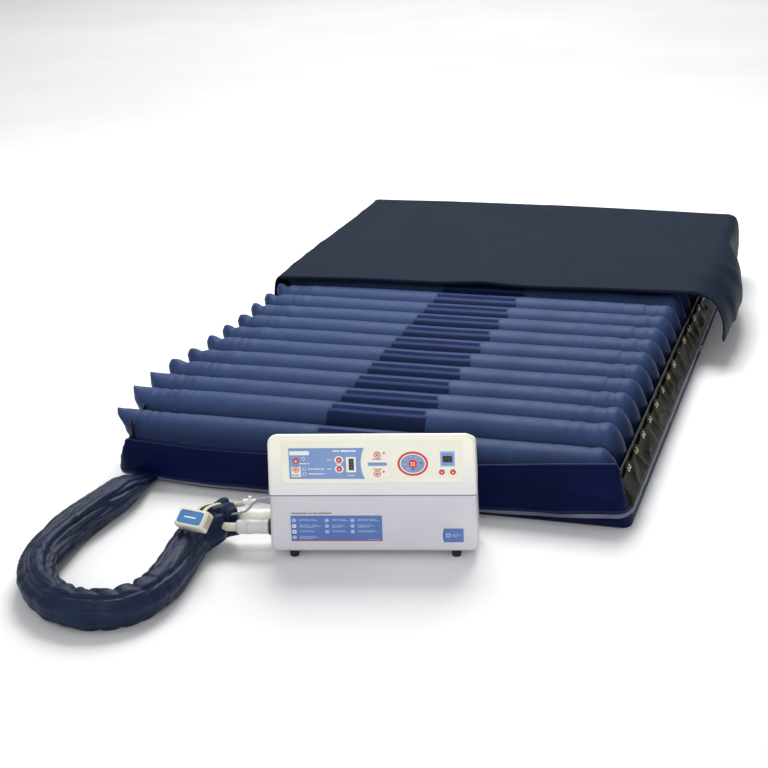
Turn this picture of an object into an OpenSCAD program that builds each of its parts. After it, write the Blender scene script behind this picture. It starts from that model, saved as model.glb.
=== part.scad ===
// Pressure relief mattress: transverse air cells in a zipped base cover, with the top
// cover folded back to the head end, and the blower unit that feeds it through a sleeved
// hose. Millimetres. X across the bed, +Y towards the head, +Z up. The origin is the
// centre of the mattress underside; everything stands on the plane z = 0.

/* [Mattress] */
// Width of the mattress over its base cover
mattress_w = 1220; // [900:10:1300]
// Length of the mattress, foot end to head end
mattress_l = 2032; // [1900:1:2100]
// Height of the air cells' crests above the floor
mattress_h = 180; // [160:1:220]
// How much lower the foot end's first cell lies than the others
first_drop = 20; // [0:1:30]
// Number of air cells along the bed
cell_count = 20; // [20]
// Height of the support base that the cells stand on
base_h = 40; // [30:1:50]
// Height of the base cover's walls
cover_h = 115; // [90:1:130]
// Thickness of the base cover's fabric
cover_t = 2; // [1:0.5:3]
// Free gap between neighbouring cells
cell_gap = 1.6; // [1:0.2:4]
// Overhang of each cell's left sewn tip beyond its own foot
ear_reach = 52; // [30:1:60]
// Length of the stretch over which a cell narrows to its tip
ear_taper = 92; // [60:1:120]

/* [Zip and snaps] */
// Height of the zip's centre above the floor
zip_z = 45; // [30:1:60]
// Height of the zip's row of teeth
zip_w = 8; // [6:1:12]
// Radius of a snap fastener
snap_r = 6; // [4:0.5:8]

/* [Top cover] */
// Distance of the folded front edge behind the middle of the bed
cover_front = 75; // [0:5:200]
// Height of the cover's top face above the cells
cover_rise = 36; // [20:1:45]
// How far the side skirts flare out beyond the base cover
skirt_flare = 88; // [60:1:100]
// Height of the skirts' lower edge above the floor
skirt_z = 72; // [40:1:100]

/* [Hose sleeve] */
// Outer diameter of the gathered hose sleeve
sleeve_d = 80; // [70:1:90]

/* [Blower unit] */
// Position of the unit's front bottom centre across the bed
pump_x = 115; // [80:5:150]
// Position of the unit's front bottom centre along the bed
pump_y = -1282; // [-1300:1:-1270]
// Turn of the unit about the vertical
pump_yaw = 13.5; // [5:0.5:20]
// Width of the case at its bottom
case_w = 441; // [430:1:450]
// Width of the case at its top
case_top_w = 429; // [420:1:440]
// Depth of the case
case_d = 130; // [125:1:140]
// Height of the case's top front edge above the floor
case_h = 282; // [276:1:290]
// Height of the rubber feet
foot_h = 16; // [14:1:24]
// How far the case's top falls from front to back
top_fall = 50; // [40:1:54]
// Height of the seam between upper and lower case
seam_z = 148; // [140:1:155]
// Wall thickness of the case
wall = 3; // [2:0.5:4]
// Travel of a key
key_travel = 0.6; // [0.4:0.1:0.8]

/* [Hidden] */
half_w = mattress_w / 2;
half_l = mattress_l / 2;
row_l = mattress_l - 2 * (cover_t + 3);
pitch = row_l / cell_count;
cover_r = 25;
cell_w = pitch - cell_gap;
cell_r = cell_w / 2;
cell_z = cover_t + base_h;
cell_top = mattress_h;
foot_half = half_w - 50;
ear_half = foot_half + ear_reach;
tuck_half = half_w - 34;
tuck_z = [70, 116];
crest_half = half_w - 45;
tip_w = 12;
visible_cells = 11;

retainer_t = 2.5;
retainer_z = [56, 112];
retainer_in = 31;
retainer_lean = atan(retainer_in / (retainer_z[1] - retainer_z[0]));
retainer_l = mattress_l - 52;
snap_z = 101;
snap_pair = 17;
snap_h = 2.5;

zip_t = 2.5;
slider_y = 120;
slider_gap = 0.5;
slider = [4, 14, 13];
pull = [1.6, 8, 24];
pull_pin_r = 1.5;
pull_ring_r = 2.8;
lug_y = 2.4;
slider_x = half_w + zip_t + slider_gap;
pull_x = slider_x + slider.x + pull_ring_r + 0.4;
pull_z = zip_z + 2;

manifold_x = -592;
manifold_z = 56;
manifold_r = 8;
feed_r = 6;
feed_x = -535;
feed_y = -half_l + 12;
feed_z = 22;

upper_t = 6;
cover_back = half_l + 28;

// Route of the sleeve's centre line, from the base cover's foot end to the blower unit.
sleeve_route = [
    [-535, -1021, 41], [-535, -1060, 41], [-532, -1120, 41], [-532, -1190, 41],
    [-540, -1260, 41], [-547, -1330, 41], [-548, -1400, 41], [-543, -1470, 41],
    [-529, -1540, 41], [-500, -1605, 41], [-455, -1660, 41], [-400, -1697, 41],
    [-340, -1708, 41], [-285, -1688, 41], [-250, -1640, 41], [-240, -1575, 41],
    [-245, -1505, 41], [-254, -1440, 42], [-258, -1380, 45], [-252, -1328, 51],
    [-235, -1292, 57], [-212, -1266, 61]];
hose_r = 10;
hose_routes = [
    [[-240, -1298, 56], [-216, -1316, 58], [-196, -1321, 60], [-176, -1316, 60]],
    [[-240, -1270, 62], [-220, -1268, 61], [-202, -1266, 60], [-184, -1262, 60]]];
tube_r = 3;
tube_routes = [
    [[-232, -1290, 84], [-214, -1286, 90], [-198, -1280, 95], [-183, -1275, 98]],
    [[-232, -1282, 72], [-214, -1277, 80], [-198, -1270, 86], [-180, -1267, 90]]];
cable_r = 2.5;
cable_route = [
    [-128, -1296, 117], [-137, -1298, 116], [-146, -1300, 111], [-152, -1302, 103],
    [-161, -1303, 94], [-175, -1303, 87], [-192, -1301, 82], [-210, -1298, 78],
    [-228, -1294, 74]];

cap_size = [76, 42, 24];
cap_corner = 5;
cap_at = [-238, -1404, 108.5];
cap_turn = [-48, -3, -16];
tether_routes = [
    [[-240, -1388, 115], [-246, -1360, 115], [-247, -1326, 108], [-240, -1300, 102]],
    [[-227, -1384, 114], [-230, -1354, 114], [-231, -1322, 107], [-226, -1296, 101]]];
tether_r = 2.5;

side_y = [36, 90];
port_z = 60;
port_r = 18;
port_back = 213;
coupler_r = 15.5;
coupler_x = [-226, -297];
small_z = 98;
small_y = 80;
small_x = 219;
plug_z = 118;
plug_y = 44;
plug_x = 218;

panel_x = [-186, 190];
panel_z = [175, 270];
panel_front = 1.2;
panel_back = 4;
ledge = 6;
key_r = 6;
dial_key_r = 9.5;
key_gap = 0.3;
key_proud = 1.8;
key_back = 6;
silence_at = [-156, 225];
power_at = [-157, 206];
firmer_at = [-66.5, 227];
softer_at = [-66.5, 207];
mode_at = [13, 238];
turn_at = [12, 196];
dial_at = [86, 218];
timer_down_at = [145.5, 199];
timer_up_at = [168.5, 199];
keys_at = [silence_at, power_at, firmer_at, softer_at, mode_at, turn_at, timer_down_at, timer_up_at];
lamps_at = [[-141, 230], [-139, 207], [-139.5, 196], [27, 242], [25.5, 200], [103, 220], [86.5, 205.7]];
lamp_r = 2;
dial_half = [31.5, 27];
dial_band = 4.5;
windows = [[-46.5, 204, 10.5, 26], [148, 221, 19, 14]];
labels = [[-174, 43, 192, 58], [141, 40, 47, 31]];
label_t = 0.8;

pocket_x = 62;
pocket_y = [24, 92];
pocket_z = 212;
rear_x = 205;
rear_z = [30, 220];
rear_y = 126;
rear_t = 3;
inlet_at = [-150, 62];
inlet_size = [40, 30];
inlet_hole = [30, 22];
inlet_depth = 24;
switch_at = [-100, 62];
switch_size = [14, 22];
switch_turn = 14;
switch_y = 127;
switch_pin_r = 1.2;
hook_x = [-140, 140];
hook_z = 150;
hook_y = 138;
hook_w = 26;
hook_l = 62;
hook_t = 4;
hook_lip = 28;
pin_r = 3;
pin_gap = 0.08;
lug_t = 6;
lug_gap = 0.4;

blower_at = [70, 66];
blower_r = 54;
blower_z = [20.5, 62];
impeller_r = 46;
shaft_r = 3;
valve_at = [-110, 62];
valve_r = 30;
valve_z = [20.5, 52];

$fn = 48;

// ---- General shapes ----

// Points of an arc about c, from angle a over span degrees.
function arc(c, r, a, span = -90, n = 6) =
    [for (i = [0:n]) c + r * [cos(a + span * i / n), sin(a + span * i / n)]];

module rounded_rect(w, l, r) {
    square([w - 2 * r, l], center = true);
    square([w, l - 2 * r], center = true);
    for (x = [-1, 1], y = [-1, 1])
        translate([x * (w / 2 - r), y * (l / 2 - r)])
            circle(r);
}

module slab(w, l, h, r) {
    linear_extrude(h)
        rounded_rect(w, l, r);
}

// Extrusion along X of a shape drawn in (y, z).
module along_x(length) {
    rotate([90, 0, 90])
        linear_extrude(length, center = true)
            children();
}

// Extrusion along +Y, from y, of a shape drawn in (x, z).
module along_y(y, length) {
    translate([0, y + length, 0])
        rotate([90, 0, 0])
            linear_extrude(length)
                children();
}

module disc_y(at, r, y, length) {
    along_y(y, length)
        translate(at)
            circle(r);
}

module box(x, y, z) {
    translate([x[0], y[0], z[0]])
        cube([x[1] - x[0], y[1] - y[0], z[1] - z[0]]);
}

function unit(v) = v / norm(v);
function tangent(p, i) = unit(p[min(i + 1, len(p) - 1)] - p[max(i - 1, 0)]);

// Round tube of one radius swept along a route, as one closed polyhedron.
module tube(route, r, sides = 10) {
    last = len(route) - 1;
    rings = [for (i = [0:last])
        let (t = tangent(route, i), s = unit(cross(t, [0, 0, 1])), u = cross(s, t))
            for (k = [0:sides - 1])
                route[i] + r * (cos(360 * k / sides) * s + sin(360 * k / sides) * u)];
    walls = [for (i = [0:last - 1], k = [0:sides - 1])
        let (a = i * sides + k, b = i * sides + (k + 1) % sides)
            for (f = [[a, b, a + sides], [b, b + sides, a + sides]]) f];
    ends = [[for (k = [sides - 1:-1:0]) k], [for (k = [0:sides - 1]) last * sides + k]];
    polyhedron(rings, concat(walls, ends), convexity = 6);
}

module place_pump() {
    translate([pump_x, pump_y, 0])
        rotate([0, 0, pump_yaw])
            children();
}

// ---- Mattress ----

// One air cell, lying across the bed: a tube with a round crest whose two ends are sewn
// to narrow upright tips that lean outwards.
// One cell: its left end is a tip that leans out over its foot, its right end is tucked under.
module cell_shape(y, top = cell_top) {
    translate([0, y, 0])
        intersection() {
            along_x(2 * ear_half) {
                translate([-cell_r, cell_z])
                    square([cell_w, top - cell_r - cell_z]);
                translate([0, top - cell_r])
                    circle(cell_r);
            }
            along_y(-cell_r, cell_w)
                polygon([
                    [-foot_half, cell_z], [foot_half, cell_z], [tuck_half, tuck_z[0]],
                    [tuck_half, tuck_z[1]], [crest_half, top], [-ear_half, top],
                    [1 - tuck_half, retainer_z[1] + 2]]);
            linear_extrude(top + 1)
                polygon([
                    [-ear_half, -tip_w / 2], [-ear_half + ear_taper, -cell_r],
                    [tuck_half - ear_taper, -cell_r], [tuck_half, -tip_w / 2],
                    [tuck_half, tip_w / 2], [tuck_half - ear_taper, cell_r],
                    [-ear_half + ear_taper, cell_r], [-ear_half, tip_w / 2]]);
        }
}

function cell_y(n) = -row_l / 2 + (n - 0.5) * pitch;

module air_cell(n) {
    color([0.27, 0.33, 0.52])
        cell_shape(cell_y(n), cell_top - (n == 1 ? first_drop : 0));
}

module covered_air_cells() {
    color([0.27, 0.33, 0.52])
        for (n = [visible_cells + 1:cell_count])
            cell_shape(cell_y(n));
}

module support_base() {
    color([0.12, 0.13, 0.20])
        translate([0, 0, cover_t])
            slab(mattress_w - 40, mattress_l - 48, base_h, 20);
}

// The side walls end just above the zip, where the retainers begin; the end walls and the
// corners stand full height.
module base_cover() {
    color([0.07, 0.08, 0.22])
        difference() {
            slab(mattress_w, mattress_l, cover_h, cover_r);
            translate([0, 0, cover_t])
                slab(mattress_w - 2 * cover_t, mattress_l - 2 * cover_t, cover_h, cover_r - cover_t);
            disc_y([feed_x, feed_z], feed_r + 1, -half_l - 1, 2 * cover_t + 2);
            for (x = [-half_w - 1, half_w - 12])
                box([x, x + 13], [-retainer_l / 2, retainer_l / 2], [retainer_z[0], cover_h + 1]);
        }
}

// Strip that leans in over the cells' ends from the side wall's top.
module cell_retainer(side) {
    top_x = half_w - retainer_in;
    color([0.16, 0.15, 0.13])
        mirror([side < 0 ? 1 : 0, 0, 0])
            along_y(-retainer_l / 2, retainer_l)
                polygon([
                    [half_w, retainer_z[0] - 5.5], [half_w + retainer_t, retainer_z[0] - 5.5],
                    [half_w + retainer_t, retainer_z[0]], [top_x + retainer_t, retainer_z[1]],
                    [top_x, retainer_z[1]], [half_w, retainer_z[0]]]);
}

module cell_retainer_left() { cell_retainer(-1); }
module cell_retainer_right() { cell_retainer(1); }

module snap_fasteners() {
    snap_x = half_w + retainer_t - (snap_z - retainer_z[0]) * tan(retainer_lean);
    color([0.72, 0.66, 0.50])
        for (side = [-1, 1], n = [1:cell_count - 1], k = [-0.5, 0.5])
            translate([side * snap_x, cell_y(n) + pitch / 2 + k * snap_pair, snap_z])
                rotate([0, side * (90 - retainer_lean), 0])
                    cylinder(snap_h, r = snap_r);
}

module zip_track() {
    color([0.48, 0.50, 0.52])
        translate([0, 0, zip_z - zip_w / 2])
            difference() {
                slab(mattress_w + 2 * zip_t, mattress_l + 2 * zip_t, zip_w, cover_r + zip_t);
                translate([0, 0, -1])
                    slab(mattress_w, mattress_l, zip_w + 2, cover_r);
            }
}

module zip_slider() {
    color([0.60, 0.60, 0.58]) {
        box([slider_x, slider_x + slider.x], [slider_y - slider.y / 2, slider_y + slider.y / 2],
            [zip_z - slider.z / 2, zip_z + slider.z / 2]);
        for (side = [-1, 1])
            translate([slider_x + slider.x, slider_y + side * (slider.y / 2 - lug_y / 2), pull_z])
                box([0, pull_x - slider_x - slider.x + pull_pin_r], [-lug_y / 2, lug_y / 2], [-2, 2]);
        translate([pull_x, slider_y, pull_z])
            rotate([90, 0, 0])
                cylinder(slider.y - lug_y, r = pull_pin_r, center = true);
    }
}

module zip_pull() {
    color([0.60, 0.60, 0.58])
        translate([pull_x, slider_y, pull_z])
            difference() {
                union() {
                    rotate([90, 0, 0])
                        cylinder(pull.y, r = pull_ring_r, center = true);
                    box([-pull.x / 2, pull.x / 2], [-pull.y / 2, pull.y / 2], [-pull.z, 0]);
                }
                rotate([90, 0, 0])
                    cylinder(pull.y + 2, r = pull_pin_r + pin_gap, center = true);
            }
}

// The top cover lies folded on the head half: a flat top, a skirt that flares out over the
// right side, one that hangs straight down the left side, and one over the head end.
module top_cover() {
    top = cell_top + cover_rise;
    out = half_w + skirt_flare;
    left = half_w + 9;
    shoulder = half_w + 18;
    length = cover_back - cover_front;
    color([0.22, 0.25, 0.32]) {
        along_y(cover_front, length)
            polygon([
                [-left, skirt_z], [-left + 2, skirt_z - 1], [-left + 4.5, skirt_z],
                [-left + 4.5, top - 26], [-left + 30, top - 14 - upper_t],
                [-left + 70, cell_top + 4], [shoulder - 70, cell_top + 4],
                [shoulder - 30, top - 14 - upper_t], [shoulder - 4, top - 26],
                [out - 9, skirt_z], [out - 2, skirt_z - 1], [out, skirt_z],
                [shoulder + 2, top - 22], [shoulder - 28, top - 8], [shoulder - 90, top],
                [-left + 90, top], [-left + 28, top - 8], [-left, top - 22]]);
        box([-half_w, half_w], [cover_back - upper_t, cover_back], [skirt_z, cell_top + 6]);
    }
}

// Feed pipe inside the base cover, with one spigot into the foot of every cell and a
// branch that leaves through the foot end inside the hose sleeve.
module air_manifold() {
    color([0.80, 0.80, 0.76]) {
        translate([manifold_x, feed_y, manifold_z])
            rotate([-90, 0, 0])
                cylinder(mattress_l - 66, r = manifold_r);
        for (n = [1:cell_count])
            translate([manifold_x, cell_y(n), manifold_z])
                rotate([0, 90, 0])
                    cylinder(32, r = 5);
        translate([manifold_x, feed_y, feed_z])
            cylinder(manifold_z - feed_z, r = feed_r);
        translate([manifold_x, feed_y, feed_z])
            rotate([0, 90, 0])
                cylinder(feed_x - manifold_x, r = feed_r);
        translate([feed_x, feed_y, feed_z])
            rotate([90, 0, 0])
                cylinder(30, r = feed_r);
    }
}

// ---- Hose sleeve and what lies on it ----

module hose_sleeve() {
    color([0.10, 0.14, 0.24])
        tube(sleeve_route, sleeve_d / 2, 12);
}

module air_hoses() {
    color([0.86, 0.84, 0.76])
        for (route = hose_routes)
            tube(route, hose_r);
}

module pressure_tubes() {
    color([0.80, 0.74, 0.72])
        for (route = tube_routes)
            tube(route, tube_r, 8);
}

module sensor_cable() {
    color([0.55, 0.56, 0.62])
        tube(cable_route, cable_r, 8);
}

module sensor_plug() {
    color([0.62, 0.63, 0.70])
        place_pump()
            translate([-plug_x, plug_y, plug_z])
                rotate([0, -90, 0])
                    rotate_extrude()
                        polygon([[0, 0], [8, 0], [8, 12], [6.5, 14], [6, 22], [4.5, 30], [4.5, 34], [0, 34]]);
}

module transport_cap() {
    color([0.90, 0.88, 0.80])
        translate(cap_at)
            rotate(cap_turn)
                translate([0, cap_size.z / 2, 0])
                    rotate([90, 0, 0])
                        slab(cap_size.x, cap_size.y, cap_size.z, cap_corner);
}

module cap_tether() {
    color([0.88, 0.85, 0.76])
        for (route = tether_routes)
            tube(route, tether_r, 8);
}

// ---- Blower unit ----

// Solid form of the case: its front outline, narrower at the top, cut to its side
// outline, whose top slopes down to the back. inset shrinks both.
module case_solid(inset) {
    b = case_w / 2 - inset;
    t = case_top_w / 2 - inset;
    low = foot_h + inset;
    high = case_h - inset;
    r_top = 20 - inset;
    r_low = 18 - inset;
    front = inset;
    back = case_d - inset;
    back_high = case_h - top_fall - inset;
    intersection() {
        along_y(0, case_d)
            polygon(concat(
                arc([-b + r_low, low + r_low], r_low, 270), arc([-t + r_top, high - r_top], r_top, 180),
                arc([t - r_top, high - r_top], r_top, 90), arc([b - r_low, low + r_low], r_low, 0)));
        along_x(case_w)
            polygon(concat(
                [[front, low]], arc([front + 10, high - 10], 10, 180, -113),
                arc([back - 8, back_high - 8], 8, 67, -67), [[back, low]]));
    }
}

module pocket(grow) {
    box([-pocket_x - grow, pocket_x + grow], pocket_y + [-grow, grow],
        [pocket_z - grow, case_h + 1]);
}

module rear_opening() {
    box([-rear_x, rear_x], [case_d - 20, case_d + 1], rear_z);
}

module upper_case() {
    color([0.90, 0.90, 0.86])
        place_pump() {
            difference() {
                case_solid(0);
                case_solid(wall);
                box([-case_w, case_w], [-1, case_d + 1], [0, seam_z]);
                box(panel_x, [-1, panel_back], panel_z);
                box([panel_x[0] + ledge, panel_x[1] - ledge], [-1, 20],
                    [panel_z[0] + ledge, panel_z[1] - ledge]);
                rear_opening();
                pocket(0);
            }
            intersection() {
                case_solid(0);
                difference() {
                    box(panel_x + [-3, 3], [1, panel_back + 3], panel_z + [-3, 3]);
                    box(panel_x, [-1, panel_back], panel_z);
                    box([panel_x[0] + ledge, panel_x[1] - ledge], [-1, 20],
                        [panel_z[0] + ledge, panel_z[1] - ledge]);
                }
            }
            intersection() {
                case_solid(0);
                difference() {
                    pocket(wall);
                    pocket(0);
                    rear_opening();
                }
            }
        }
}

module lower_case() {
    color([0.72, 0.73, 0.74])
        place_pump()
            difference() {
                case_solid(1.5);
                case_solid(1.5 + wall);
                box([-case_w, case_w], [-1, case_d + 1], [seam_z, case_h + 1]);
                rear_opening();
            }
}

module rear_cover() {
    color([0.72, 0.73, 0.74])
        place_pump() {
            difference() {
                box([-rear_x, rear_x], [rear_y, rear_y + rear_t], rear_z);
                along_y(rear_y - 1, rear_t + 2) {
                    translate(inlet_at)
                        square(inlet_size - [6, 4], center = true);
                    translate(switch_at)
                        square(switch_size + [1, 1], center = true);
                }
            }
            translate([switch_at.x, switch_y, switch_at.y])
                rotate([0, 90, 0])
                    cylinder(switch_size.x + 3, r = switch_pin_r, center = true);
            for (x = hook_x) {
                for (side = [-1, 1])
                    translate([x + side * (hook_w / 2 + lug_gap + lug_t / 2), 0, 0])
                        along_x(lug_t) {
                            translate([hook_y, hook_z])
                                circle(7);
                            translate([rear_y + rear_t, hook_z - 7])
                                square([hook_y - rear_y - rear_t, 14]);
                        }
                translate([x, hook_y, hook_z])
                    rotate([0, 90, 0])
                        cylinder(hook_w + 2 * lug_gap + 2, r = pin_r, center = true);
            }
        }
}

module bed_hook(x) {
    color([0.25, 0.26, 0.28])
        place_pump()
            translate([x, 0, 0])
                difference() {
                    along_x(hook_w) {
                        translate([hook_y, hook_z])
                            circle(6.5);
                        translate([hook_y - 1, hook_z])
                            square([hook_t, hook_l]);
                        translate([hook_y - 1, hook_z + hook_l - hook_t])
                            square([hook_lip, hook_t]);
                        translate([hook_y - 1 + hook_lip - hook_t / 2, hook_z + hook_l - hook_t / 2])
                            circle(hook_t / 2 + 1);
                    }
                    translate([0, hook_y, hook_z])
                        rotate([0, 90, 0])
                            cylinder(hook_w + 2, r = pin_r + pin_gap, center = true);
                }
}

module bed_hook_left() { bed_hook(hook_x[0]); }
module bed_hook_right() { bed_hook(hook_x[1]); }

module control_panel() {
    color([0.72, 0.78, 0.82])
        place_pump()
            difference() {
                box(panel_x, [panel_front, panel_back], panel_z);
                for (at = keys_at)
                    disc_y(at, key_r + key_gap, 0, panel_back + 1);
                disc_y(dial_at, dial_key_r + key_gap, 0, panel_back + 1);
                for (at = lamps_at)
                    disc_y(at, lamp_r, 0, panel_back + 1);
            }
}

function ellipse(a, b, n = 48) = [for (i = [0:n - 1]) [a * cos(360 * i / n), b * sin(360 * i / n)]];

module dial_ring() {
    color([0.80, 0.12, 0.12])
        place_pump()
            along_y(panel_front - 0.6, 0.6)
                translate(dial_at)
                    difference() {
                        polygon(ellipse(dial_half.x, dial_half.y));
                        polygon(ellipse(dial_half.x - dial_band, dial_half.y - dial_band));
                    }
}

module displays() {
    color([0.05, 0.12, 0.08])
        place_pump()
            for (w = windows)
                box([w[0], w[0] + w[2]], [panel_front - 0.5, panel_front], [w[1], w[1] + w[3]]);
}

module indicator_lamps() {
    color([0.15, 0.20, 0.18])
        place_pump()
            for (at = lamps_at)
                disc_y(at, lamp_r, panel_front - 0.6, 3);
}

module front_labels() {
    color([0.35, 0.50, 0.80])
        place_pump()
            for (w = labels)
                box([w[0], w[0] + w[2]], [1.5 - label_t, 1.5], [w[1], w[1] + w[3]]);
}

module round_key(at, r = key_r) {
    color([0.80, 0.10, 0.10])
        place_pump()
            disc_y(at, r, panel_front - key_proud, key_proud + key_back);
}

module key_silence() { round_key(silence_at); }
module key_power() { round_key(power_at); }
module key_firmer() { round_key(firmer_at); }
module key_softer() { round_key(softer_at); }
module key_mode() { round_key(mode_at); }
module key_turn() { round_key(turn_at); }
module key_dial() { round_key(dial_at, dial_key_r); }
module key_timer_down() { round_key(timer_down_at); }
module key_timer_up() { round_key(timer_up_at); }

module pump_feet() {
    color([0.05, 0.05, 0.05])
        place_pump()
            for (x = [-172, 172], y = [22, 108])
                translate([x, y, 0])
                    cylinder(foot_h + 1.5, r = 10);
}

// Round collars on the unit's side that the hoses, the sensor plug and the small
// pressure connector go into.
module port(y, z, out, r) {
    translate([-port_back, y, z])
        rotate([0, -90, 0])
            cylinder(out - port_back, r = r);
}

module hose_ports() {
    color([0.30, 0.31, 0.33])
        place_pump() {
            for (y = side_y)
                port(y, port_z, -coupler_x[0], port_r);
            port(plug_y, plug_z, plug_x, 11);
            port(small_y, small_z, small_x, 8);
        }
}

module coupler(y) {
    length = coupler_x[0] - coupler_x[1];
    r = coupler_r;
    color([0.86, 0.86, 0.84])
        place_pump()
            translate([coupler_x[0], y, port_z])
                rotate([0, -90, 0])
                    rotate_extrude()
                        polygon(concat(
                            [[0, 0], [r - 2, 0], [r - 2, 4], [r, 4]],
                            [for (k = [0:5]) for (p = [[r, 22 + 4 * k], [r - 0.8, 23 + 4 * k],
                                [r - 0.8, 24 + 4 * k], [r, 25 + 4 * k]]) p],
                            [[r, length - 6], [r - 1.8, length - 2], [r - 6, length], [0, length]]));
}

module coupler_front() { coupler(side_y[0]); }
module coupler_rear() { coupler(side_y[1]); }

module small_coupler() {
    color([0.92, 0.92, 0.90])
        place_pump()
            translate([0, small_y, small_z]) {
                translate([-small_x, 0, 0])
                    rotate([0, -90, 0])
                        cylinder(36, r = 4);
                translate([-255, 0, 0])
                    rotate([0, -90, 0])
                        cylinder(32, r = 6.5);
                translate([-271, 0, 0])
                    cylinder(13, r = 4);
            }
}

module mains_inlet() {
    y = rear_y + rear_t;
    color([0.08, 0.08, 0.08])
        place_pump()
            translate([inlet_at.x, 0, inlet_at.y]) {
                difference() {
                    union() {
                        along_y(y, 2)
                            square(inlet_size, center = true);
                        along_y(y - inlet_depth, inlet_depth)
                            square(inlet_size - [6, 4], center = true);
                    }
                    along_y(y - inlet_depth + 3, inlet_depth)
                        square(inlet_hole, center = true);
                }
                for (p = [[-7, -2], [0, 3], [7, -2]])
                    translate([p.x, y - inlet_depth, p.y])
                        along_y(0, 16)
                            square([2, 4], center = true);
            }
}

// Rocker of the mains switch: two flats that meet in a shallow valley over its pivot.
module rocker_switch() {
    color([0.06, 0.06, 0.06])
        place_pump()
            translate([switch_at.x, switch_y, switch_at.y])
                difference() {
                    rotate([switch_turn / 2, 0, 0])
                        along_x(switch_size.x - 1)
                            polygon([[-4, -5], [-4, 5], [4.5, 9.5], [3.2, 0], [4.5, -9.5]]);
                    rotate([0, 90, 0])
                        cylinder(switch_size.x + 2, r = switch_pin_r + pin_gap, center = true);
                }
}

module blower_housing() {
    color([0.30, 0.30, 0.32])
        place_pump()
            translate([blower_at.x, blower_at.y, blower_z[0]])
                difference() {
                    cylinder(blower_z[1] - blower_z[0], r = blower_r);
                    translate([0, 0, 3])
                        cylinder(blower_z[1] - blower_z[0] - 6, r = blower_r - 3);
                    translate([0, 0, 20])
                        cylinder(40, r = 20);
                }
}

module blower_impeller() {
    color([0.85, 0.85, 0.85])
        place_pump()
            translate([blower_at.x, blower_at.y, blower_z[0] + 5]) {
                cylinder(3, r = impeller_r);
                cylinder(30, r = shaft_r + 5);
                for (k = [0:7])
                    rotate([0, 0, 45 * k])
                        translate([22, -1, 0])
                            cube([impeller_r - 24, 2, 24]);
            }
}

module valve_body() {
    color([0.55, 0.56, 0.58])
        place_pump()
            translate([valve_at.x, valve_at.y, valve_z[0]])
                difference() {
                    cylinder(valve_z[1] - valve_z[0], r = valve_r);
                    translate([0, 0, 10])
                        cylinder(40, r = valve_r - 4);
                }
}

module valve_disc() {
    color([0.88, 0.88, 0.84])
        place_pump()
            translate([valve_at.x, valve_at.y, valve_z[0] + 11])
                difference() {
                    cylinder(8, r = valve_r - 5);
                    for (a = [0, 120, 240])
                        rotate([0, 0, a])
                            translate([15, 0, -1])
                                cylinder(10, r = 5);
                }
}

module circuit_board() {
    color([0.10, 0.35, 0.18])
        place_pump()
            box([-150, 150], [14, 16], [160, 205]);
}

air_cell(1);  // air_cell_01
air_cell(2);  // air_cell_02
air_cell(3);  // air_cell_03
air_cell(4);  // air_cell_04
air_cell(5);  // air_cell_05
air_cell(6);  // air_cell_06
air_cell(7);  // air_cell_07
air_cell(8);  // air_cell_08
air_cell(9);  // air_cell_09
air_cell(10);  // air_cell_10
air_cell(11);  // air_cell_11
covered_air_cells();
support_base();
base_cover();
cell_retainer_left();
cell_retainer_right();
snap_fasteners();
zip_track();
zip_slider();
zip_pull();
top_cover();
air_manifold();
hose_sleeve();
air_hoses();
pressure_tubes();
sensor_cable();
sensor_plug();
transport_cap();
cap_tether();
upper_case();
lower_case();
rear_cover();
control_panel();
dial_ring();
displays();
indicator_lamps();
front_labels();
key_silence();
key_power();
key_firmer();
key_softer();
key_mode();
key_turn();
key_dial();
key_timer_down();
key_timer_up();
pump_feet();
hose_ports();
coupler_front();
coupler_rear();
small_coupler();
mains_inlet();
rocker_switch();
bed_hook_left();
bed_hook_right();
blower_housing();
blower_impeller();
valve_body();
valve_disc();
circuit_board();
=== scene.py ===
"""Looks of a pressure relief mattress with its blower unit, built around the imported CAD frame.

Metres. X runs across the bed, +Y towards the head end, +Z up, as in the CAD. The file goes from
the camera and the hose sleeve to the mattress, the top cover, the blower unit and the lights.
"""

import math

import bmesh
import bpy
import numpy as np
from mathutils import Euler, Matrix, Vector


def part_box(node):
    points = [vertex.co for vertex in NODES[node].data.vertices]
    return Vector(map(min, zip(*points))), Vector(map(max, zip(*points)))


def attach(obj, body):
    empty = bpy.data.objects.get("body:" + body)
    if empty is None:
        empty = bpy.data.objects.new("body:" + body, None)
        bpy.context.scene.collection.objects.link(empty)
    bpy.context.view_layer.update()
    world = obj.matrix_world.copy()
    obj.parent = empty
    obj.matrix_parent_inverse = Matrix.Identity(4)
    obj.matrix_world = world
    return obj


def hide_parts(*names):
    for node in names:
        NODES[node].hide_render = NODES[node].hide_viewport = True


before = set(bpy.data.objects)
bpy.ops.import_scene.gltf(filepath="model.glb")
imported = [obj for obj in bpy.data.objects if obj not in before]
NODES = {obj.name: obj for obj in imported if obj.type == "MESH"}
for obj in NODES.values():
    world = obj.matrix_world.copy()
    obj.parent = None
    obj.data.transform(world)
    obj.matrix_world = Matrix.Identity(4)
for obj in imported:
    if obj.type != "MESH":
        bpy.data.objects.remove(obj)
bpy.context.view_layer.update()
ROOT = "mattress_and_unit"
MM = 0.001

# ---------------------------------------------------------------- sizes taken from the frame

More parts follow.
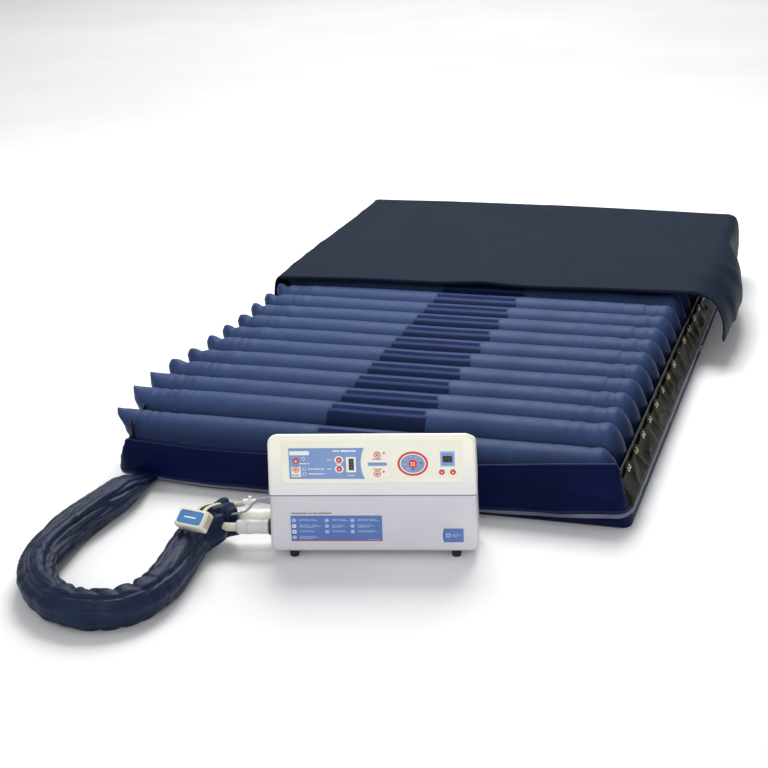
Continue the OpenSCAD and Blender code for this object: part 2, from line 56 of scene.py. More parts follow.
COVER_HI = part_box("base_cover")[1]
HALF_W, HALF_L, COVER_H = COVER_HI.x, COVER_HI.y, COVER_HI.z
CELL_NODES = [f"air_cell_{n:02d}" for n in range(1, 12)]
CELL_LO, CELL_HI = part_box(CELL_NODES[1])
CELL_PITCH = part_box(CELL_NODES[2])[0].y - CELL_LO.y
CELL_Y1 = (CELL_LO.y + CELL_HI.y) / 2 - CELL_PITCH
CELL_HALF = (CELL_HI.y - CELL_LO.y) / 2
EAR_X, TUCK_X, FOOT_X = -CELL_LO.x, CELL_HI.x, 0.560  # a cell's left end, right end and foot
CELL_BOTTOM, CREST = CELL_LO.z, CELL_HI.z
CELL_COUNT = 20
ZIP_LO, ZIP_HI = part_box("zip_track")
ZIP_Z = (ZIP_LO.z + ZIP_HI.z) / 2
SNAP_LO, SNAP_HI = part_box("snap_fasteners")
SNAP_Z = (SNAP_LO.z + SNAP_HI.z) / 2
SNAP_X = SNAP_HI.x - 0.0036  # where the domes stand on the strip
TOP_LO, TOP_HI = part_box("top_cover")
BOARD_LO, BOARD_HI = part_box("support_base")

# Place of the blower unit: its front bottom centre and its turn, as in the CAD. In the unit's
# own axes x is across its front, y goes into it and z is up; sizes there are in millimetres.
UNIT_AT, UNIT_TURN = (0.115, -1.282, 0.0), 13.5
UNIT = Matrix.Translation(UNIT_AT) @ Matrix.Rotation(math.radians(UNIT_TURN), 4, "Z")

# ---------------------------------------------------------------- numbers

UPWARD = (0.0, 0.0, 1.0)


def smoothstep(x, a, b):
    """0 below a, 1 above b (or the other way round where a > b), smooth between."""
    t = np.clip((np.asarray(x, float) - a) / (b - a), 0, 1)
    return t * t * (3 - 2 * t)


def noise(u, v, seed):
    """Smooth value noise from -1 to 1 of two coordinates, the same for a seed each run."""
    table = np.random.default_rng(seed).uniform(-1, 1, (64, 64))
    u, v = np.broadcast_arrays(np.asarray(u, float), np.asarray(v, float))
    i, j = np.floor(u).astype(int), np.floor(v).astype(int)
    fu, fv = u - i, v - j
    fu, fv = fu * fu * (3 - 2 * fu), fv * fv * (3 - 2 * fv)
    corner = [table[(i + a) % 64, (j + b) % 64] for a in (0, 1) for b in (0, 1)]
    low = corner[0] * (1 - fv) + corner[1] * fv
    high = corner[2] * (1 - fv) + corner[3] * fv
    return low * (1 - fu) + high * fu


def crease(u, v, seed):
    """Soft folds with sharper ridges, from 0 to 1."""
    return (1 - np.abs(noise(u, v, seed))) ** 2.5


def catmull(points, step):
    """Points about step apart on a smooth curve through the given ones."""
    p = np.asarray(points, float)
    p = np.vstack([2 * p[0] - p[1], p, 2 * p[-1] - p[-2]])
    found = []
    for a, b, c, d in zip(p, p[1:], p[2:], p[3:]):
        n = max(1, round(np.linalg.norm(c - b) / step))
        for t in np.arange(n)[:, None] / n:
            found.append(0.5 * (2 * b + (c - a) * t + (2 * a - 5 * b + 4 * c - d) * t**2
                                + (3 * b - a - 3 * c + d) * t**3))
    return np.vstack([*found, p[-2]])


def turns(sides):
    """Angles once round, in even steps."""
    return 2 * np.pi * np.arange(sides) / sides


def distances(line):
    """How far along a line each of its points is."""
    return np.concatenate([[0], np.cumsum(np.linalg.norm(np.diff(line, axis=0), axis=1))])


def frames_along(line, upward=UPWARD):
    """Unit tangents, side vectors and up vectors along a line that never points along upward."""
    t = np.gradient(line, axis=0)
    t /= np.linalg.norm(t, axis=1)[:, None]
    side = np.cross(t, upward)
    side /= np.linalg.norm(side, axis=1)[:, None]
    return t, side, np.cross(side, t)


def ellipse(cx, cz, rx, rz, n=48, start=0.0, span=360.0):
    closed = abs(span) >= 360
    a = np.radians(start + span * np.arange(n) / (n if closed else n - 1))
    return [(cx + rx * math.cos(t), cz + rz * math.sin(t)) for t in a]


def rounded_rect(x0, z0, x1, z1, r, n=6):
    corners = [(x1 - r, z1 - r, 0), (x0 + r, z1 - r, 90), (x0 + r, z0 + r, 180), (x1 - r, z0 + r, 270)]
    return [p for cx, cz, a in corners for p in ellipse(cx, cz, r, r, n, a, 90)]


# ---------------------------------------------------------------- meshes


def finish_piece(obj, material, body=ROOT, replaces=()):
    obj.data.materials.append(material)
    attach(obj, body)
    if replaces:
        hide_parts(*replaces)
    return obj


def link(name, mesh, matrix=None):
    obj = bpy.data.objects.new(name, mesh)
    bpy.context.scene.collection.objects.link(obj)
    if matrix is not None:
        obj.matrix_world = matrix
    return obj


def edit(mesh, change):
    """Lets change(bm) work on a mesh as a bmesh."""
    bm = bmesh.new()
    bm.from_mesh(mesh)
    change(bm)
    bm.to_mesh(mesh)
    bm.free()


def face_outwards(bm):
    bmesh.ops.recalc_face_normals(bm, faces=bm.faces)


def smooth_by_angle(mesh, degrees):
    """Smooth faces, with edges sharper than this kept sharp."""
    def mark(bm):
        for f in bm.faces:
            f.smooth = True
        for e in bm.edges:
            e.smooth = len(e.link_faces) == 2 and e.calc_face_angle(0) < math.radians(degrees)

    edit(mesh, mark)


def mesh_from(name, verts, faces, sharp=None):
    mesh = bpy.data.meshes.new(name)
    mesh.from_pydata([tuple(map(float, v)) for v in verts], [], faces)
    mesh.validate()
    if sharp is None:
        mesh.polygons.foreach_set("use_smooth", [True] * len(mesh.polygons))
    else:
        smooth_by_angle(mesh, sharp)
    mesh.update()
    return mesh


def grid_faces(rows, cols, wrap_rows=False, wrap_cols=False, flip=False):
    faces = []
    for i in range(rows if wrap_rows else rows - 1):
        for j in range(cols if wrap_cols else cols - 1):
            a, b = i * cols, (i + 1) % rows * cols
            k = (j + 1) % cols
            quad = (a + j, a + k, b + k, b + j)
            faces.append(quad[::-1] if flip else quad)
    return faces


def skin_faces(rings, sides, flip=False, both=True):
    """Faces of rings of points, closed at the last ring, and with both at the first one too."""
    ends = [tuple(range(sides))[::-1]] if both else []
    ends.append(tuple(range((rings - 1) * sides, rings * sides)))
    faces = grid_faces(rings, sides, wrap_cols=True, flip=flip)
    return faces + [end[::-1] if flip else end for end in ends]


def tube(name, line, radius, sides, matrix=None, upward=UPWARD):
    """Round tube along a line, with closed ends. radius is one number or one for each point."""
    line = np.asarray(line, float)
    _, side, up = frames_along(line, upward)
    a = turns(sides)
    r = np.broadcast_to(radius, len(line))[:, None, None]
    ring = np.cos(a)[None, :, None] * side[:, None] + np.sin(a)[None, :, None] * up[:, None]
    points = (line[:, None] + r * ring).reshape(-1, 3)
    return link(name, mesh_from(name, points, skin_faces(len(line), sides, flip=True)), matrix)


def lathe(name, profile, matrix, sides):
    """Solid turned about its own z axis from (radius, height) points, closed at both ends."""
    verts = [(r * math.cos(t), r * math.sin(t), h) for r, h in profile for t in turns(sides)]
    return link(name, mesh_from(name, verts, skin_faces(len(profile), sides), 40), matrix)


def join_meshes(name, meshes, matrix=None, sharp=40):
    """One object from several (vertices, faces) pairs."""
    verts, faces = [], []
    for v, f in meshes:
        faces += [tuple(len(verts) + k for k in face) for face in f]
        verts += [tuple(p) for p in v]
    return link(name, mesh_from(name, verts, faces, sharp), matrix)


def prism(outline, y0, y1):
    """(vertices, faces) of an outline of (x, z) points drawn out from y0 back to y1."""
    n = len(outline)
    verts = [(x, y, z) for y in (y0, y1) for x, z in outline]
    faces = [tuple(range(n)), tuple(range(2 * n - 1, n - 1, -1))]
    faces += [(i, i + n, (i + 1) % n + n, (i + 1) % n) for i in range(n)]
    return verts, faces


def band(outer, inner, y0, y1):
    """(vertices, faces) of a flat ring between two outlines with as many points each."""
    n = len(outer)
    verts = [(x, y, z) for y in (y0, y1) for loop in (outer, inner) for x, z in loop]
    faces = []
    for i in range(n):
        k = (i + 1) % n
        faces += [(i, k, k + n, i + n), (i + 2 * n, i + 3 * n, k + 3 * n, k + 2 * n),
                  (i, i + 2 * n, k + 2 * n, k), (i + n, k + n, k + 3 * n, i + 3 * n)]
    return verts, faces


def applied(obj):
    """Bakes the object's modifiers into its mesh."""
    deps = bpy.context.evaluated_depsgraph_get()
    mesh = bpy.data.meshes.new_from_object(obj.evaluated_get(deps))
    obj.modifiers.clear()
    old, obj.data = obj.data, mesh
    bpy.data.meshes.remove(old)
    return obj


def thicken(obj, thickness):
    """Turns a skin into a wall that goes inwards from it."""
    solid = obj.modifiers.new("thickness", "SOLIDIFY")
    solid.thickness, solid.offset = thickness, -1
    return applied(obj)


def taken(obj):
    """(vertices, faces) of an object where it stands; the object itself is removed."""
    verts = [obj.matrix_world @ v.co for v in obj.data.vertices]
    faces = [tuple(f.vertices) for f in obj.data.polygons]
    bpy.data.objects.remove(obj)
    return verts, faces


def cut(obj, verts_faces):
    """Takes a closed shape away from obj."""
    cutter = link("cutter", mesh_from("cutter", *verts_faces, sharp=30), obj.matrix_world)
    edit(cutter.data, face_outwards)
    m = obj.modifiers.new("cut", "BOOLEAN")
    m.object, m.operation, m.solver = cutter, "DIFFERENCE", "EXACT"
    bpy.context.view_layer.update()
    applied(obj)
    bpy.data.objects.remove(cutter)


def rounded_box(size, r, segments=4):
    """Mesh of a box with rounded edges, centred on its own origin."""
    bm = bmesh.new()
    bmesh.ops.create_cube(bm, size=1)
    bmesh.ops.scale(bm, vec=size, verts=bm.verts)
    bmesh.ops.bevel(bm, geom=bm.edges, offset=r, segments=segments, profile=0.5, affect="EDGES")
    mesh = bpy.data.meshes.new("rounded_box")
    bm.to_mesh(mesh)
    bm.free()
    smooth_by_angle(mesh, 50)
    return mesh


# ---------------------------------------------------------------- materials


def rgb(r, g, b):
    """Linear colour from the 0 to 255 values of a screen."""
    return (*[((c / 255 + 0.055) / 1.055) ** 2.4 if c > 10 else c / 255 / 12.92
              for c in (r, g, b)], 1)


class Paint:
    """A material being built: its node tree, its shader and short names for common nodes."""

    def __init__(self, name, rough=0.5, metal=0.0, **constants):
        self.material = bpy.data.materials.new(name)
        self.material.use_nodes = True
        self.tree = self.material.node_tree
        self.shader = self.tree.nodes["Principled BSDF"]
        self.shader.inputs["Metallic"].default_value = metal
        self.shader.inputs["Roughness"].default_value = rough
        for socket, value in constants.items():
            self.shader.inputs[socket.replace("_", " ")].default_value = value
        self.place = self.add("ShaderNodeTexCoord").outputs["Object"]

    def add(self, kind, inputs=(), **settings):
        node = self.tree.nodes.new(kind)
        for key, value in settings.items():
            setattr(node, key, value)
        for key, value in dict(inputs).items():
            self.put(node.inputs[key], value)
        return node

    def put(self, socket, value):
        if isinstance(value, bpy.types.NodeSocket):
            self.tree.links.new(value, socket)
        else:
            socket.default_value = value

    def scaled(self, x, y, z):
        return self.add("ShaderNodeMapping", {"Vector": self.place, "Scale": (x, y, z)}).outputs[0]

    def noise(self, scale, stretch=(1, 1, 1), detail=3):
        return self.add("ShaderNodeTexNoise", {"Vector": self.scaled(*stretch), "Scale": scale,
                                               "Detail": detail, "Roughness": 0.55}).outputs["Fac"]

    def math(self, operation, a, b=0.0, c=0.0):
        return self.add("ShaderNodeMath", {0: a, 1: b, 2: c}, operation=operation).outputs[0]

    def ramp(self, value, low, high, a=0.0, b=1.0):
        """value from low to high, turned smoothly into a to b."""
        return self.add("ShaderNodeMapRange", {"Value": value, "From Min": low, "From Max": high,
                                               "To Min": a, "To Max": b},
                        interpolation_type="SMOOTHSTEP").outputs[0]

    def mix(self, share, a, b):
        node = self.add("ShaderNodeMix", data_type="RGBA")
        for key, value in ((0, share), (6, a), (7, b)):
            self.put(node.inputs[key], value)
        return node.outputs[2]

    def colour(self, value):
        self.put(self.shader.inputs["Base Color"], value)
        return self

    def roughness(self, value):
        self.put(self.shader.inputs["Roughness"], value)
        return self

    def bump(self, height, distance, strength=1.0):
        node = self.add("ShaderNodeBump", {"Height": height, "Distance": distance, "Strength": strength})
        if self.shader.inputs["Normal"].links:
            self.put(node.inputs["Normal"], self.shader.inputs["Normal"].links[0].from_socket)
        self.put(self.shader.inputs["Normal"], node.outputs[0])
        return self

    def weave(self, pitch):
        """Height of a plain weave with threads this far apart."""
        waves = [self.add("ShaderNodeTexWave", {"Vector": self.place, "Scale": 0.314 / pitch,
                                                "Distortion": 1.5, "Detail": 1.0},
                          bands_direction=axis).outputs["Fac"] for axis in ("X", "Y", "Z")]
        return self.math("MULTIPLY", self.math("ADD", waves[0], waves[1]), self.math("ADD", waves[2], 0.4))


def fabric(name, base, light, rough=0.6, sheen=0.05, weave=0.0009, crumple=0.0012, gloss=0.2):
    """Woven cloth: broad and fine variation of colour and gloss, a weave and small crumples."""
    p = Paint(name, rough, Sheen_Weight=sheen, Sheen_Roughness=0.4, Specular_IOR_Level=gloss)
    broad, fine = p.noise(7, detail=4), p.noise(420, detail=2)
    cloud = p.ramp(p.math("MULTIPLY_ADD", fine, 0.35, broad), 0.45, 0.95)
    p.colour(p.mix(cloud, rgb(*base), rgb(*light)))
    p.roughness(p.ramp(p.noise(30), 0.3, 0.7, rough - 0.02, rough + 0.03))
    p.bump(p.weave(weave), 0.00004, 0.5).bump(p.noise(45, detail=5), crumple, 0.5)
    return p.material


def moulded(name, base, light, rough=0.42, grain=0.00006, metal=0.0, **constants):
    """Moulded plastic or plain metal: fine grain, faint clouding and uneven gloss."""
    p = Paint(name, rough, metal, **constants)
    p.colour(p.mix(p.ramp(p.noise(9, detail=5), 0.35, 0.7, 0, 0.5), rgb(*base), rgb(*light)))
    p.roughness(p.ramp(p.noise(60, detail=4), 0.3, 0.7, rough - 0.07, rough + 0.09))
    p.bump(p.noise(1400, detail=1), grain, 0.6)
    return p


def plastic(*numbers, **constants):
    return moulded(*numbers, **constants).material


STRIP_HALF = 0.1195  # half width of the woven strip in the middle of the cells
THIN_BAND, WIDE_BAND = (0.0075, 0.0215), (0.0275, 0.0305)  # its dark bands, from a cell's middle


def cell_nylon():
    """Coated nylon of the air cells: satin, with puckers towards the sewn ends and a woven
    centre strip of lengthwise light and dark bands. Object x is across the bed, y from the
    cell's own middle."""
    p = Paint("cell_nylon", 0.4, Specular_IOR_Level=0.07)
    xyz = p.add("ShaderNodeSeparateXYZ", {0: p.place})
    across, along = p.math("ABSOLUTE", xyz.outputs["X"]), p.math("ABSOLUTE", xyz.outputs["Y"])
    cloud = p.ramp(p.noise(6, detail=4), 0.3, 0.7)
    body = p.mix(cloud, rgb(50, 66, 103), rgb(58, 76, 114))

    def between(value, low, high, soft):
        return p.math("MULTIPLY", p.ramp(value, low - soft, low + soft),
                      p.ramp(value, high + soft, high - soft))

    strip = p.ramp(across, STRIP_HALF + 0.0006, STRIP_HALF - 0.0006)
    dark_end = p.ramp(across, STRIP_HALF - 0.0055, STRIP_HALF - 0.0068)
    line = p.math("MULTIPLY", between(along, *THIN_BAND, 0.0014), dark_end)
    wide = p.math("MULTIPLY", p.ramp(along, *WIDE_BAND), strip)
    woven = p.mix(cloud, rgb(41, 57, 97), rgb(47, 65, 107))
    colour = p.mix(strip, body, woven)
    colour = p.mix(p.math("MULTIPLY", line, 0.8), colour, rgb(16, 29, 66))
    colour = p.mix(p.math("MULTIPLY", wide, 0.95), colour, rgb(20, 33, 66))
    # Painted shade: the colour darkens low down, where cells press together, and where their ends tuck
    # under.
    low = p.ramp(xyz.outputs["Z"], 0.174, 0.116, 0, 0.66)
    tucked = p.ramp(xyz.outputs["X"], TUCK_X - 0.046, TUCK_X - 0.008, 0, 0.80)
    # The dark navy mixed in here is painted shade, not the cloth's own colour.
    colour = p.mix(p.math("MAXIMUM", low, tucked), colour, rgb(7, 13, 46))
    p.colour(colour)
    p.roughness(p.math("MULTIPLY_ADD", line, 0.4, p.ramp(p.noise(25), 0.3, 0.7, 0.40, 0.52)))
    ends = p.ramp(across, 0.36, 0.56)
    puckers = p.noise(60, (1.0, 0.25, 0.09), detail=3)
    p.bump(p.weave(0.0009), 0.00003, 0.4)
    p.bump(p.math("MULTIPLY", puckers, ends), 0.004, 0.7)
    p.bump(p.noise(9, (1.0, 0.6, 0.4), detail=3), 0.002, 0.4)
    return p.material


M_CELL = cell_nylon()
M_NAVY = fabric("cover_navy", (4, 11, 48), (7, 16, 62), 0.5, 0.0, 0.0025, 0.0015, 0.06)
M_HEM = fabric("hem_navy", (20, 28, 74), (32, 42, 96), 0.5, 0.04, 0.0007)
M_SLATE = fabric("cover_slate", (23, 32, 46), (25, 35, 49), 0.5, 0.0, 0.0035, 0.00006, 0.025)
M_SLEEVE = fabric("sleeve_navy", (13, 27, 52), (20, 36, 64), 0.5, 0.0, crumple=0.0016)
M_RETAINER = fabric("retainer_cloth", (24, 23, 16), (37, 35, 23), 0.45, 0.0, 0.0011, 0.0015,
                    0.035)
M_BASE = fabric("base_pad", (24, 27, 42), (34, 38, 56), 0.6, 0.2)
M_TAPE = fabric("zip_tape", (88, 95, 114), (116, 124, 134), 0.6, 0.1, 0.0006)
M_TEETH = plastic("zip_teeth", (10, 18, 62), (18, 28, 82), 0.45, Specular_IOR_Level=0.2)
M_PIPING = fabric("piping", (44, 42, 34), (70, 68, 56), 0.45, 0.0, 0.0006)
M_SNAP = plastic("snap_metal", (168, 150, 112), (206, 198, 180), 0.24, metal=0.9)
M_ZIP_METAL = plastic("zip_metal", (140, 140, 138), (176, 176, 172), 0.3, metal=0.9)
M_CREAM = plastic("cap_cream", (214, 208, 188), (230, 226, 210), 0.45)
M_STRAP = fabric("tether_cream", (196, 188, 168), (222, 216, 198), 0.7, 0.2, 0.0005, 0.0004)
M_TUBING = plastic("tubing", (206, 198, 176), (224, 218, 202), 0.35, Coat_Weight=0.2)
M_PINK = plastic("tube_pink", (206, 178, 166), (222, 200, 188), 0.35)
M_CABLE = plastic("cable_grey", (138, 142, 158), (160, 164, 180), 0.45)
M_COUPLER = plastic("coupler_grey", (198, 200, 200), (220, 221, 219), 0.38)
M_WHITE = plastic("white_plastic", (226, 226, 222), (240, 240, 236), 0.4)
M_DARK = plastic("dark_plastic", (44, 45, 50), (62, 63, 68), 0.5)
M_RUBBER = plastic("foot_rubber", (14, 14, 16), (30, 30, 33), 0.7, 0.0001)
M_INNER = plastic("inner_grey", (120, 122, 125), (142, 144, 147), 0.5)
M_ROTOR = plastic("rotor_white", (208, 208, 204), (226, 226, 222), 0.4)
M_BOARD = plastic("board_green", (16, 74, 44), (26, 92, 54), 0.45)
M_HOOK = plastic("hook_metal", (60, 62, 66), (88, 90, 94), 0.4, 0.0001, metal=0.6)
M_INLET = plastic("inlet_black", (16, 16, 18), (30, 30, 32), 0.42)


def case_plastic():
    """Warm white upper case, its colour painted lighter towards the top, where the light falls, and greyer
    towards its seam.
    """
    p = moulded("case_cream", (228, 228, 230), (236, 235, 234), 0.4, 0.00008)
    height = p.add("ShaderNodeSeparateXYZ", {0: p.place}).outputs["Z"]
    old = p.shader.inputs["Base Color"].links[0].from_socket
    # Painted light: the colour lightens and warms from the seam up to the top.
    p.colour(p.mix(p.ramp(height, 0.150, 0.262), old, rgb(250, 247, 230)))
    return p.material


M_CASE = case_plastic()
M_CASE_LOW = plastic("case_grey", (206, 205, 212), (216, 215, 221), 0.44, 0.00009)
M_REAR = plastic("rear_grey", (190, 190, 196), (204, 204, 208), 0.5, 0.0001)


def ink(name, r, g, b, rough=0.35):
    return plastic(name, (r, g, b), [min(255, c + 12) for c in (r, g, b)], rough, 0.00003)


M_PRINT = ink("print_cream", 240, 238, 222)
M_BLUE = ink("print_blue", 122, 150, 200)
M_LIGHT_BLUE = ink("print_light_blue", 160, 184, 222)
M_INK_WHITE = ink("print_white", 238, 238, 232)
M_RED = ink("print_red", 206, 52, 44)
M_KEY = ink("key_red", 204, 60, 52, 0.3)
M_KEY_PALE = ink("key_pale", 232, 196, 184, 0.3)
M_ICON = ink("icon_white", 244, 232, 226)
M_GREY_INK = ink("print_grey", 128, 126, 122)
M_LABEL = ink("label_blue", 84, 112, 178)
M_SCREEN = ink("screen_dark", 16, 20, 18, 0.15)
M_BAR = ink("bar_green", 70, 100, 34, 0.2)
M_LAMP = plastic("lamp_dark", (20, 24, 30), (40, 46, 60), 0.12, Coat_Weight=0.5)
M_CAP_BLUE = ink("cap_blue", 76, 128, 186)
M_CAP_END = plastic("cap_end", (168, 160, 142), (188, 180, 162), 0.5)

# ---------------------------------------------------------------- camera

CAMERA_AT = Vector((1.109, -4.216, 1.507))
CAMERA_YAW, CAMERA_PITCH, CAMERA_ROLL = -0.3162, 0.3454, -0.035
CAMERA_LENS, SENSOR_WIDTH = 76.17, 36


def make_camera():
    yaw, pitch, roll = CAMERA_YAW, CAMERA_PITCH, CAMERA_ROLL
    ahead = Vector((math.sin(yaw) * math.cos(pitch), math.cos(yaw) * math.cos(pitch), -math.sin(pitch)))
    right = Vector((math.cos(yaw), -math.sin(yaw), 0))
    up = right.cross(ahead)
    x = math.cos(roll) * right + math.sin(roll) * up
    y = math.cos(roll) * up - math.sin(roll) * right
    data = bpy.data.cameras.new("camera")
    data.lens, data.sensor_width = CAMERA_LENS, SENSOR_WIDTH
    camera = bpy.data.objects.new("camera", data)
    bpy.context.scene.collection.objects.link(camera)
    turn = Matrix((x, y, -ahead)).transposed().to_4x4()
    camera.matrix_world = Matrix.Translation(CAMERA_AT) @ turn
    bpy.context.scene.camera = camera


make_camera()

# ---------------------------------------------------------------- hose sleeve and cords

SLEEVE_D, TUBE_D, CABLE_D = 0.080, 0.006, 0.005
SLEEVE_ROUTE = [
    (-0.535, -1.021, 0.041), (-0.535, -1.060, 0.041), (-0.532, -1.120, 0.041), (-0.532, -1.190, 0.041),
    (-0.540, -1.260, 0.041), (-0.547, -1.330, 0.041), (-0.548, -1.400, 0.041), (-0.543, -1.470, 0.041),
    (-0.529, -1.540, 0.041), (-0.500, -1.605, 0.041), (-0.455, -1.660, 0.041), (-0.400, -1.697, 0.041),
    (-0.340, -1.708, 0.041), (-0.285, -1.688, 0.041), (-0.250, -1.640, 0.041), (-0.240, -1.575, 0.041),
    (-0.245, -1.505, 0.041), (-0.254, -1.440, 0.042), (-0.258, -1.380, 0.045), (-0.252, -1.328, 0.051),
    (-0.235, -1.292, 0.057), (-0.212, -1.266, 0.061)]
HOSE_ROUTES = [
    [(-0.240, -1.298, 0.056), (-0.216, -1.316, 0.058), (-0.196, -1.321, 0.060), (-0.176, -1.316, 0.060)],
    [(-0.240, -1.270, 0.062), (-0.220, -1.268, 0.061), (-0.202, -1.266, 0.060), (-0.184, -1.262, 0.060)]]
TUBE_ROUTES = [
    [(-0.232, -1.290, 0.084), (-0.214, -1.286, 0.090), (-0.198, -1.280, 0.095), (-0.183, -1.275, 0.098)],
    [(-0.232, -1.282, 0.072), (-0.214, -1.277, 0.080), (-0.198, -1.270, 0.086), (-0.180, -1.267, 0.090)]]
CABLE_ROUTE = [
    (-0.128, -1.296, 0.117), (-0.137, -1.298, 0.116), (-0.146, -1.300, 0.111), (-0.152, -1.302, 0.103),
    (-0.161, -1.303, 0.094), (-0.175, -1.303, 0.087), (-0.192, -1.301, 0.082), (-0.210, -1.298, 0.078),
    (-0.228, -1.294, 0.074)]
TETHER_ROUTES = [
    [(-0.240, -1.388, 0.115), (-0.246, -1.360, 0.115), (-0.247, -1.326, 0.108), (-0.240, -1.300, 0.102)],
    [(-0.227, -1.384, 0.114), (-0.230, -1.354, 0.114), (-0.231, -1.322, 0.107), (-0.226, -1.296, 0.101)]]


def hose_sleeve():
    """Gathered cloth sleeve: folds bunch up on the inside of its bends, long folds run over
    its outside, and its end by the unit is drawn in by an elastic below a ruffle."""
    line = catmull(SLEEVE_ROUTE, 0.0035)
    t, side, up = frames_along(line)
    n, sides = len(line), 72
    s = distances(line)
    bend = np.einsum("ij,ij->i", np.gradient(t, axis=0), side) / np.gradient(s)
    bend = np.convolve(np.pad(bend, 12, "edge"), np.ones(25) / 25, "valid")
    S, A = np.meshgrid(s, turns(sides), indexing="ij")
    inner = np.cos(A) * np.sign(bend)[:, None]  # 1 on the inside of the bend
    tight = smoothstep(np.abs(bend), 1.0, 6.0)[:, None]
    squeeze = tight * np.clip(inner * 0.8 + 0.4, 0, 1)
    # Broad soft folds with narrow valleys run slantwise along the legs; over the tight bend
    # they turn across the sleeve and bunch up on its inside.
    twist = A + 2.2 * S
    broad = np.abs(noise(S / 0.30 + 2.2 * np.cos(twist) + 4, 2.5 * np.sin(twist) + S / 0.8 + 4, 21))
    fine = np.abs(noise(S / 0.11 + 2.8 * np.cos(A + 1) + 6, 3.0 * np.sin(A + 1) + S / 0.25 + 6, 22))
    tucks = np.abs(np.sin(np.pi * (S / 0.050 + 0.55 * noise(S / 0.09 + 3, 1.2 * np.cos(A) + 3, 5))))
    radius = SLEEVE_D / 2 * (0.92 + 0.05 * noise(S / 0.13, 1.2 * np.cos(A) + 3, 8))
    radius = radius + 0.0115 * (np.clip(broad / 0.45, 0, 1) ** 0.7 - 0.6) * (1 - 0.6 * tight)
    radius = radius + 0.0030 * (np.clip(fine / 0.36, 0, 1) ** 0.7 - 0.6)
    radius = radius + (0.0038 * tight + 0.009 * squeeze) * (tucks ** 0.45 - 0.7)
    radius = radius + 0.0008 * noise(S / 0.016 + 2, 2.5 * np.cos(A) + 4, 9)
    end = s[-1] - S
    gathered = smoothstep(end, 0.12, 0.03)
    pleats = np.cos(11 * A + 2.5 * noise(S / 0.08, A, 14)) * 0.6 + np.cos(17 * A + 1) * 0.4
    waist = np.exp(-(((end - 0.026) / 0.013) ** 2))
    radius = radius * (1 + 0.06 * gathered - 0.10 * waist) + 0.0022 * pleats * gathered
    start = smoothstep(S, 0.13, 0.02)
    radius = radius * (1 - 0.32 * start) + 0.0030 * np.cos(9 * A + 1.0) * start
    radius = np.clip(radius, 0.012, 0.0505)
    points = line[:, None] + radius[..., None] * (
        np.cos(A)[..., None] * side[:, None] + np.sin(A)[..., None] * up[:, None])
    flat = 0.50 + 0.50 * smoothstep(s, 0.0, 0.16)  # it comes out flattened by the mattress
    points[..., 2] *= flat[:, None]
    points[..., 2] = np.maximum(points[..., 2], 0.0012 + 0.0006 * np.cos(A))
    points = points.reshape(-1, 3)
    faces = grid_faces(n, sides, wrap_cols=True, flip=True)
    # Each end turns inwards, so that the cloth's edge shows round a dark mouth. Both are drawn in
    # along the direction of the unit's end, so the mouth by the mattress is a little askew.
    verts, inward = [points], -t[-1]
    for first, mouth in ((0, line[0] * [1, 1, flat[0]]), ((n - 1) * sides, line[-1])):
        rim, before = points[first:first + sides], first
        for share, back in ((0.86, 0.002), (0.72, 0.010), (0.30, 0.014)):
            after = sum(map(len, verts))
            verts.append(mouth + (rim - mouth) * share + inward * back)
            for j in range(sides):
                k = (j + 1) % sides
                quad = (before + j, before + k, after + k, after + j)
                faces.append(quad[::-1] if first else quad)
            before = after
        closed = tuple(range(before, before + sides))
        faces.append(closed[::-1] if first else closed)
    mesh = mesh_from("hose_sleeve", np.vstack(verts), faces)
    obj = finish_piece(link("hose_sleeve", mesh), M_SLEEVE, replaces=["hose_sleeve"])
    return obj, line


STRAP_W, STRAP_THICK = 0.0085, 0.0018


def strap(route):
    """(vertices, faces) of a flat strap along a route, its flat side up."""
    line = catmull(route, 0.003)
    _, side, up = frames_along(line)
    outline = [(c * STRAP_W / 2, d * STRAP_THICK / 2) for c, d in
               [(-1, -0.5), (-0.92, -1), (0.92, -1), (1, -0.5),
                (1, 0.5), (0.92, 1), (-0.92, 1), (-1, 0.5)]]
    points = np.array([[p + a * s + b * u for a, b in outline] for p, s, u in zip(line, side, up)])
    return points.reshape(-1, 3), skin_faces(len(line), len(outline))


CAP_PLACE = (Matrix.Translation((-0.238, -1.404, 0.1085))
             @ Euler([math.radians(x) for x in (-48, -3, -16)]).to_matrix().to_4x4())
CAP_SIZE = (0.076, 0.024, 0.042)


def transport_cap():
    """Cream cap with a plain blue label and a ribbed grey end."""
    w, d, h = CAP_SIZE
    cap = finish_piece(link("transport_cap", rounded_box(CAP_SIZE, 0.0045, 5), CAP_PLACE), M_CREAM,
                       replaces=["transport_cap"])
    face = -d / 2
    x0, x1, z = -w / 2 + 0.003, w / 2 - 0.005, h / 2 - 0.0035
    edge = 0.0022
    inside = rounded_rect(x0 + edge, -z + edge, x1 - edge, z - edge, 0.0065)
    rim = band(rounded_rect(x0, -z, x1, z, 0.0085), inside, face - 0.0006, face + 0.001)
    field = prism(inside, face - 0.0003, face + 0.001)
    line = prism(rounded_rect(-0.017, -0.0016, 0.014, 0.0016, 0.0015), face - 0.0006, face)
    ribs = []
    for k in range(9):
        z0 = -0.0125 + k * 0.0029
        v, f = prism([(z0, -0.0075), (z0 + 0.0019, -0.0075), (z0 + 0.0019, 0.0075), (z0, 0.0075)],
                     w / 2 + 0.0004, w / 2 - 0.002)
        ribs.append(([(y, z_, x) for x, y, z_ in v], f))
    for name, parts, material in (("cap_label_rim", [rim], M_INK_WHITE),
                                  ("cap_label", [field], M_CAP_BLUE),
                                  ("cap_label_line", [line], M_INK_WHITE),
                                  ("cap_end_ribs", ribs, M_CAP_END)):
        finish_piece(join_meshes(name, parts, CAP_PLACE), material)
    return cap


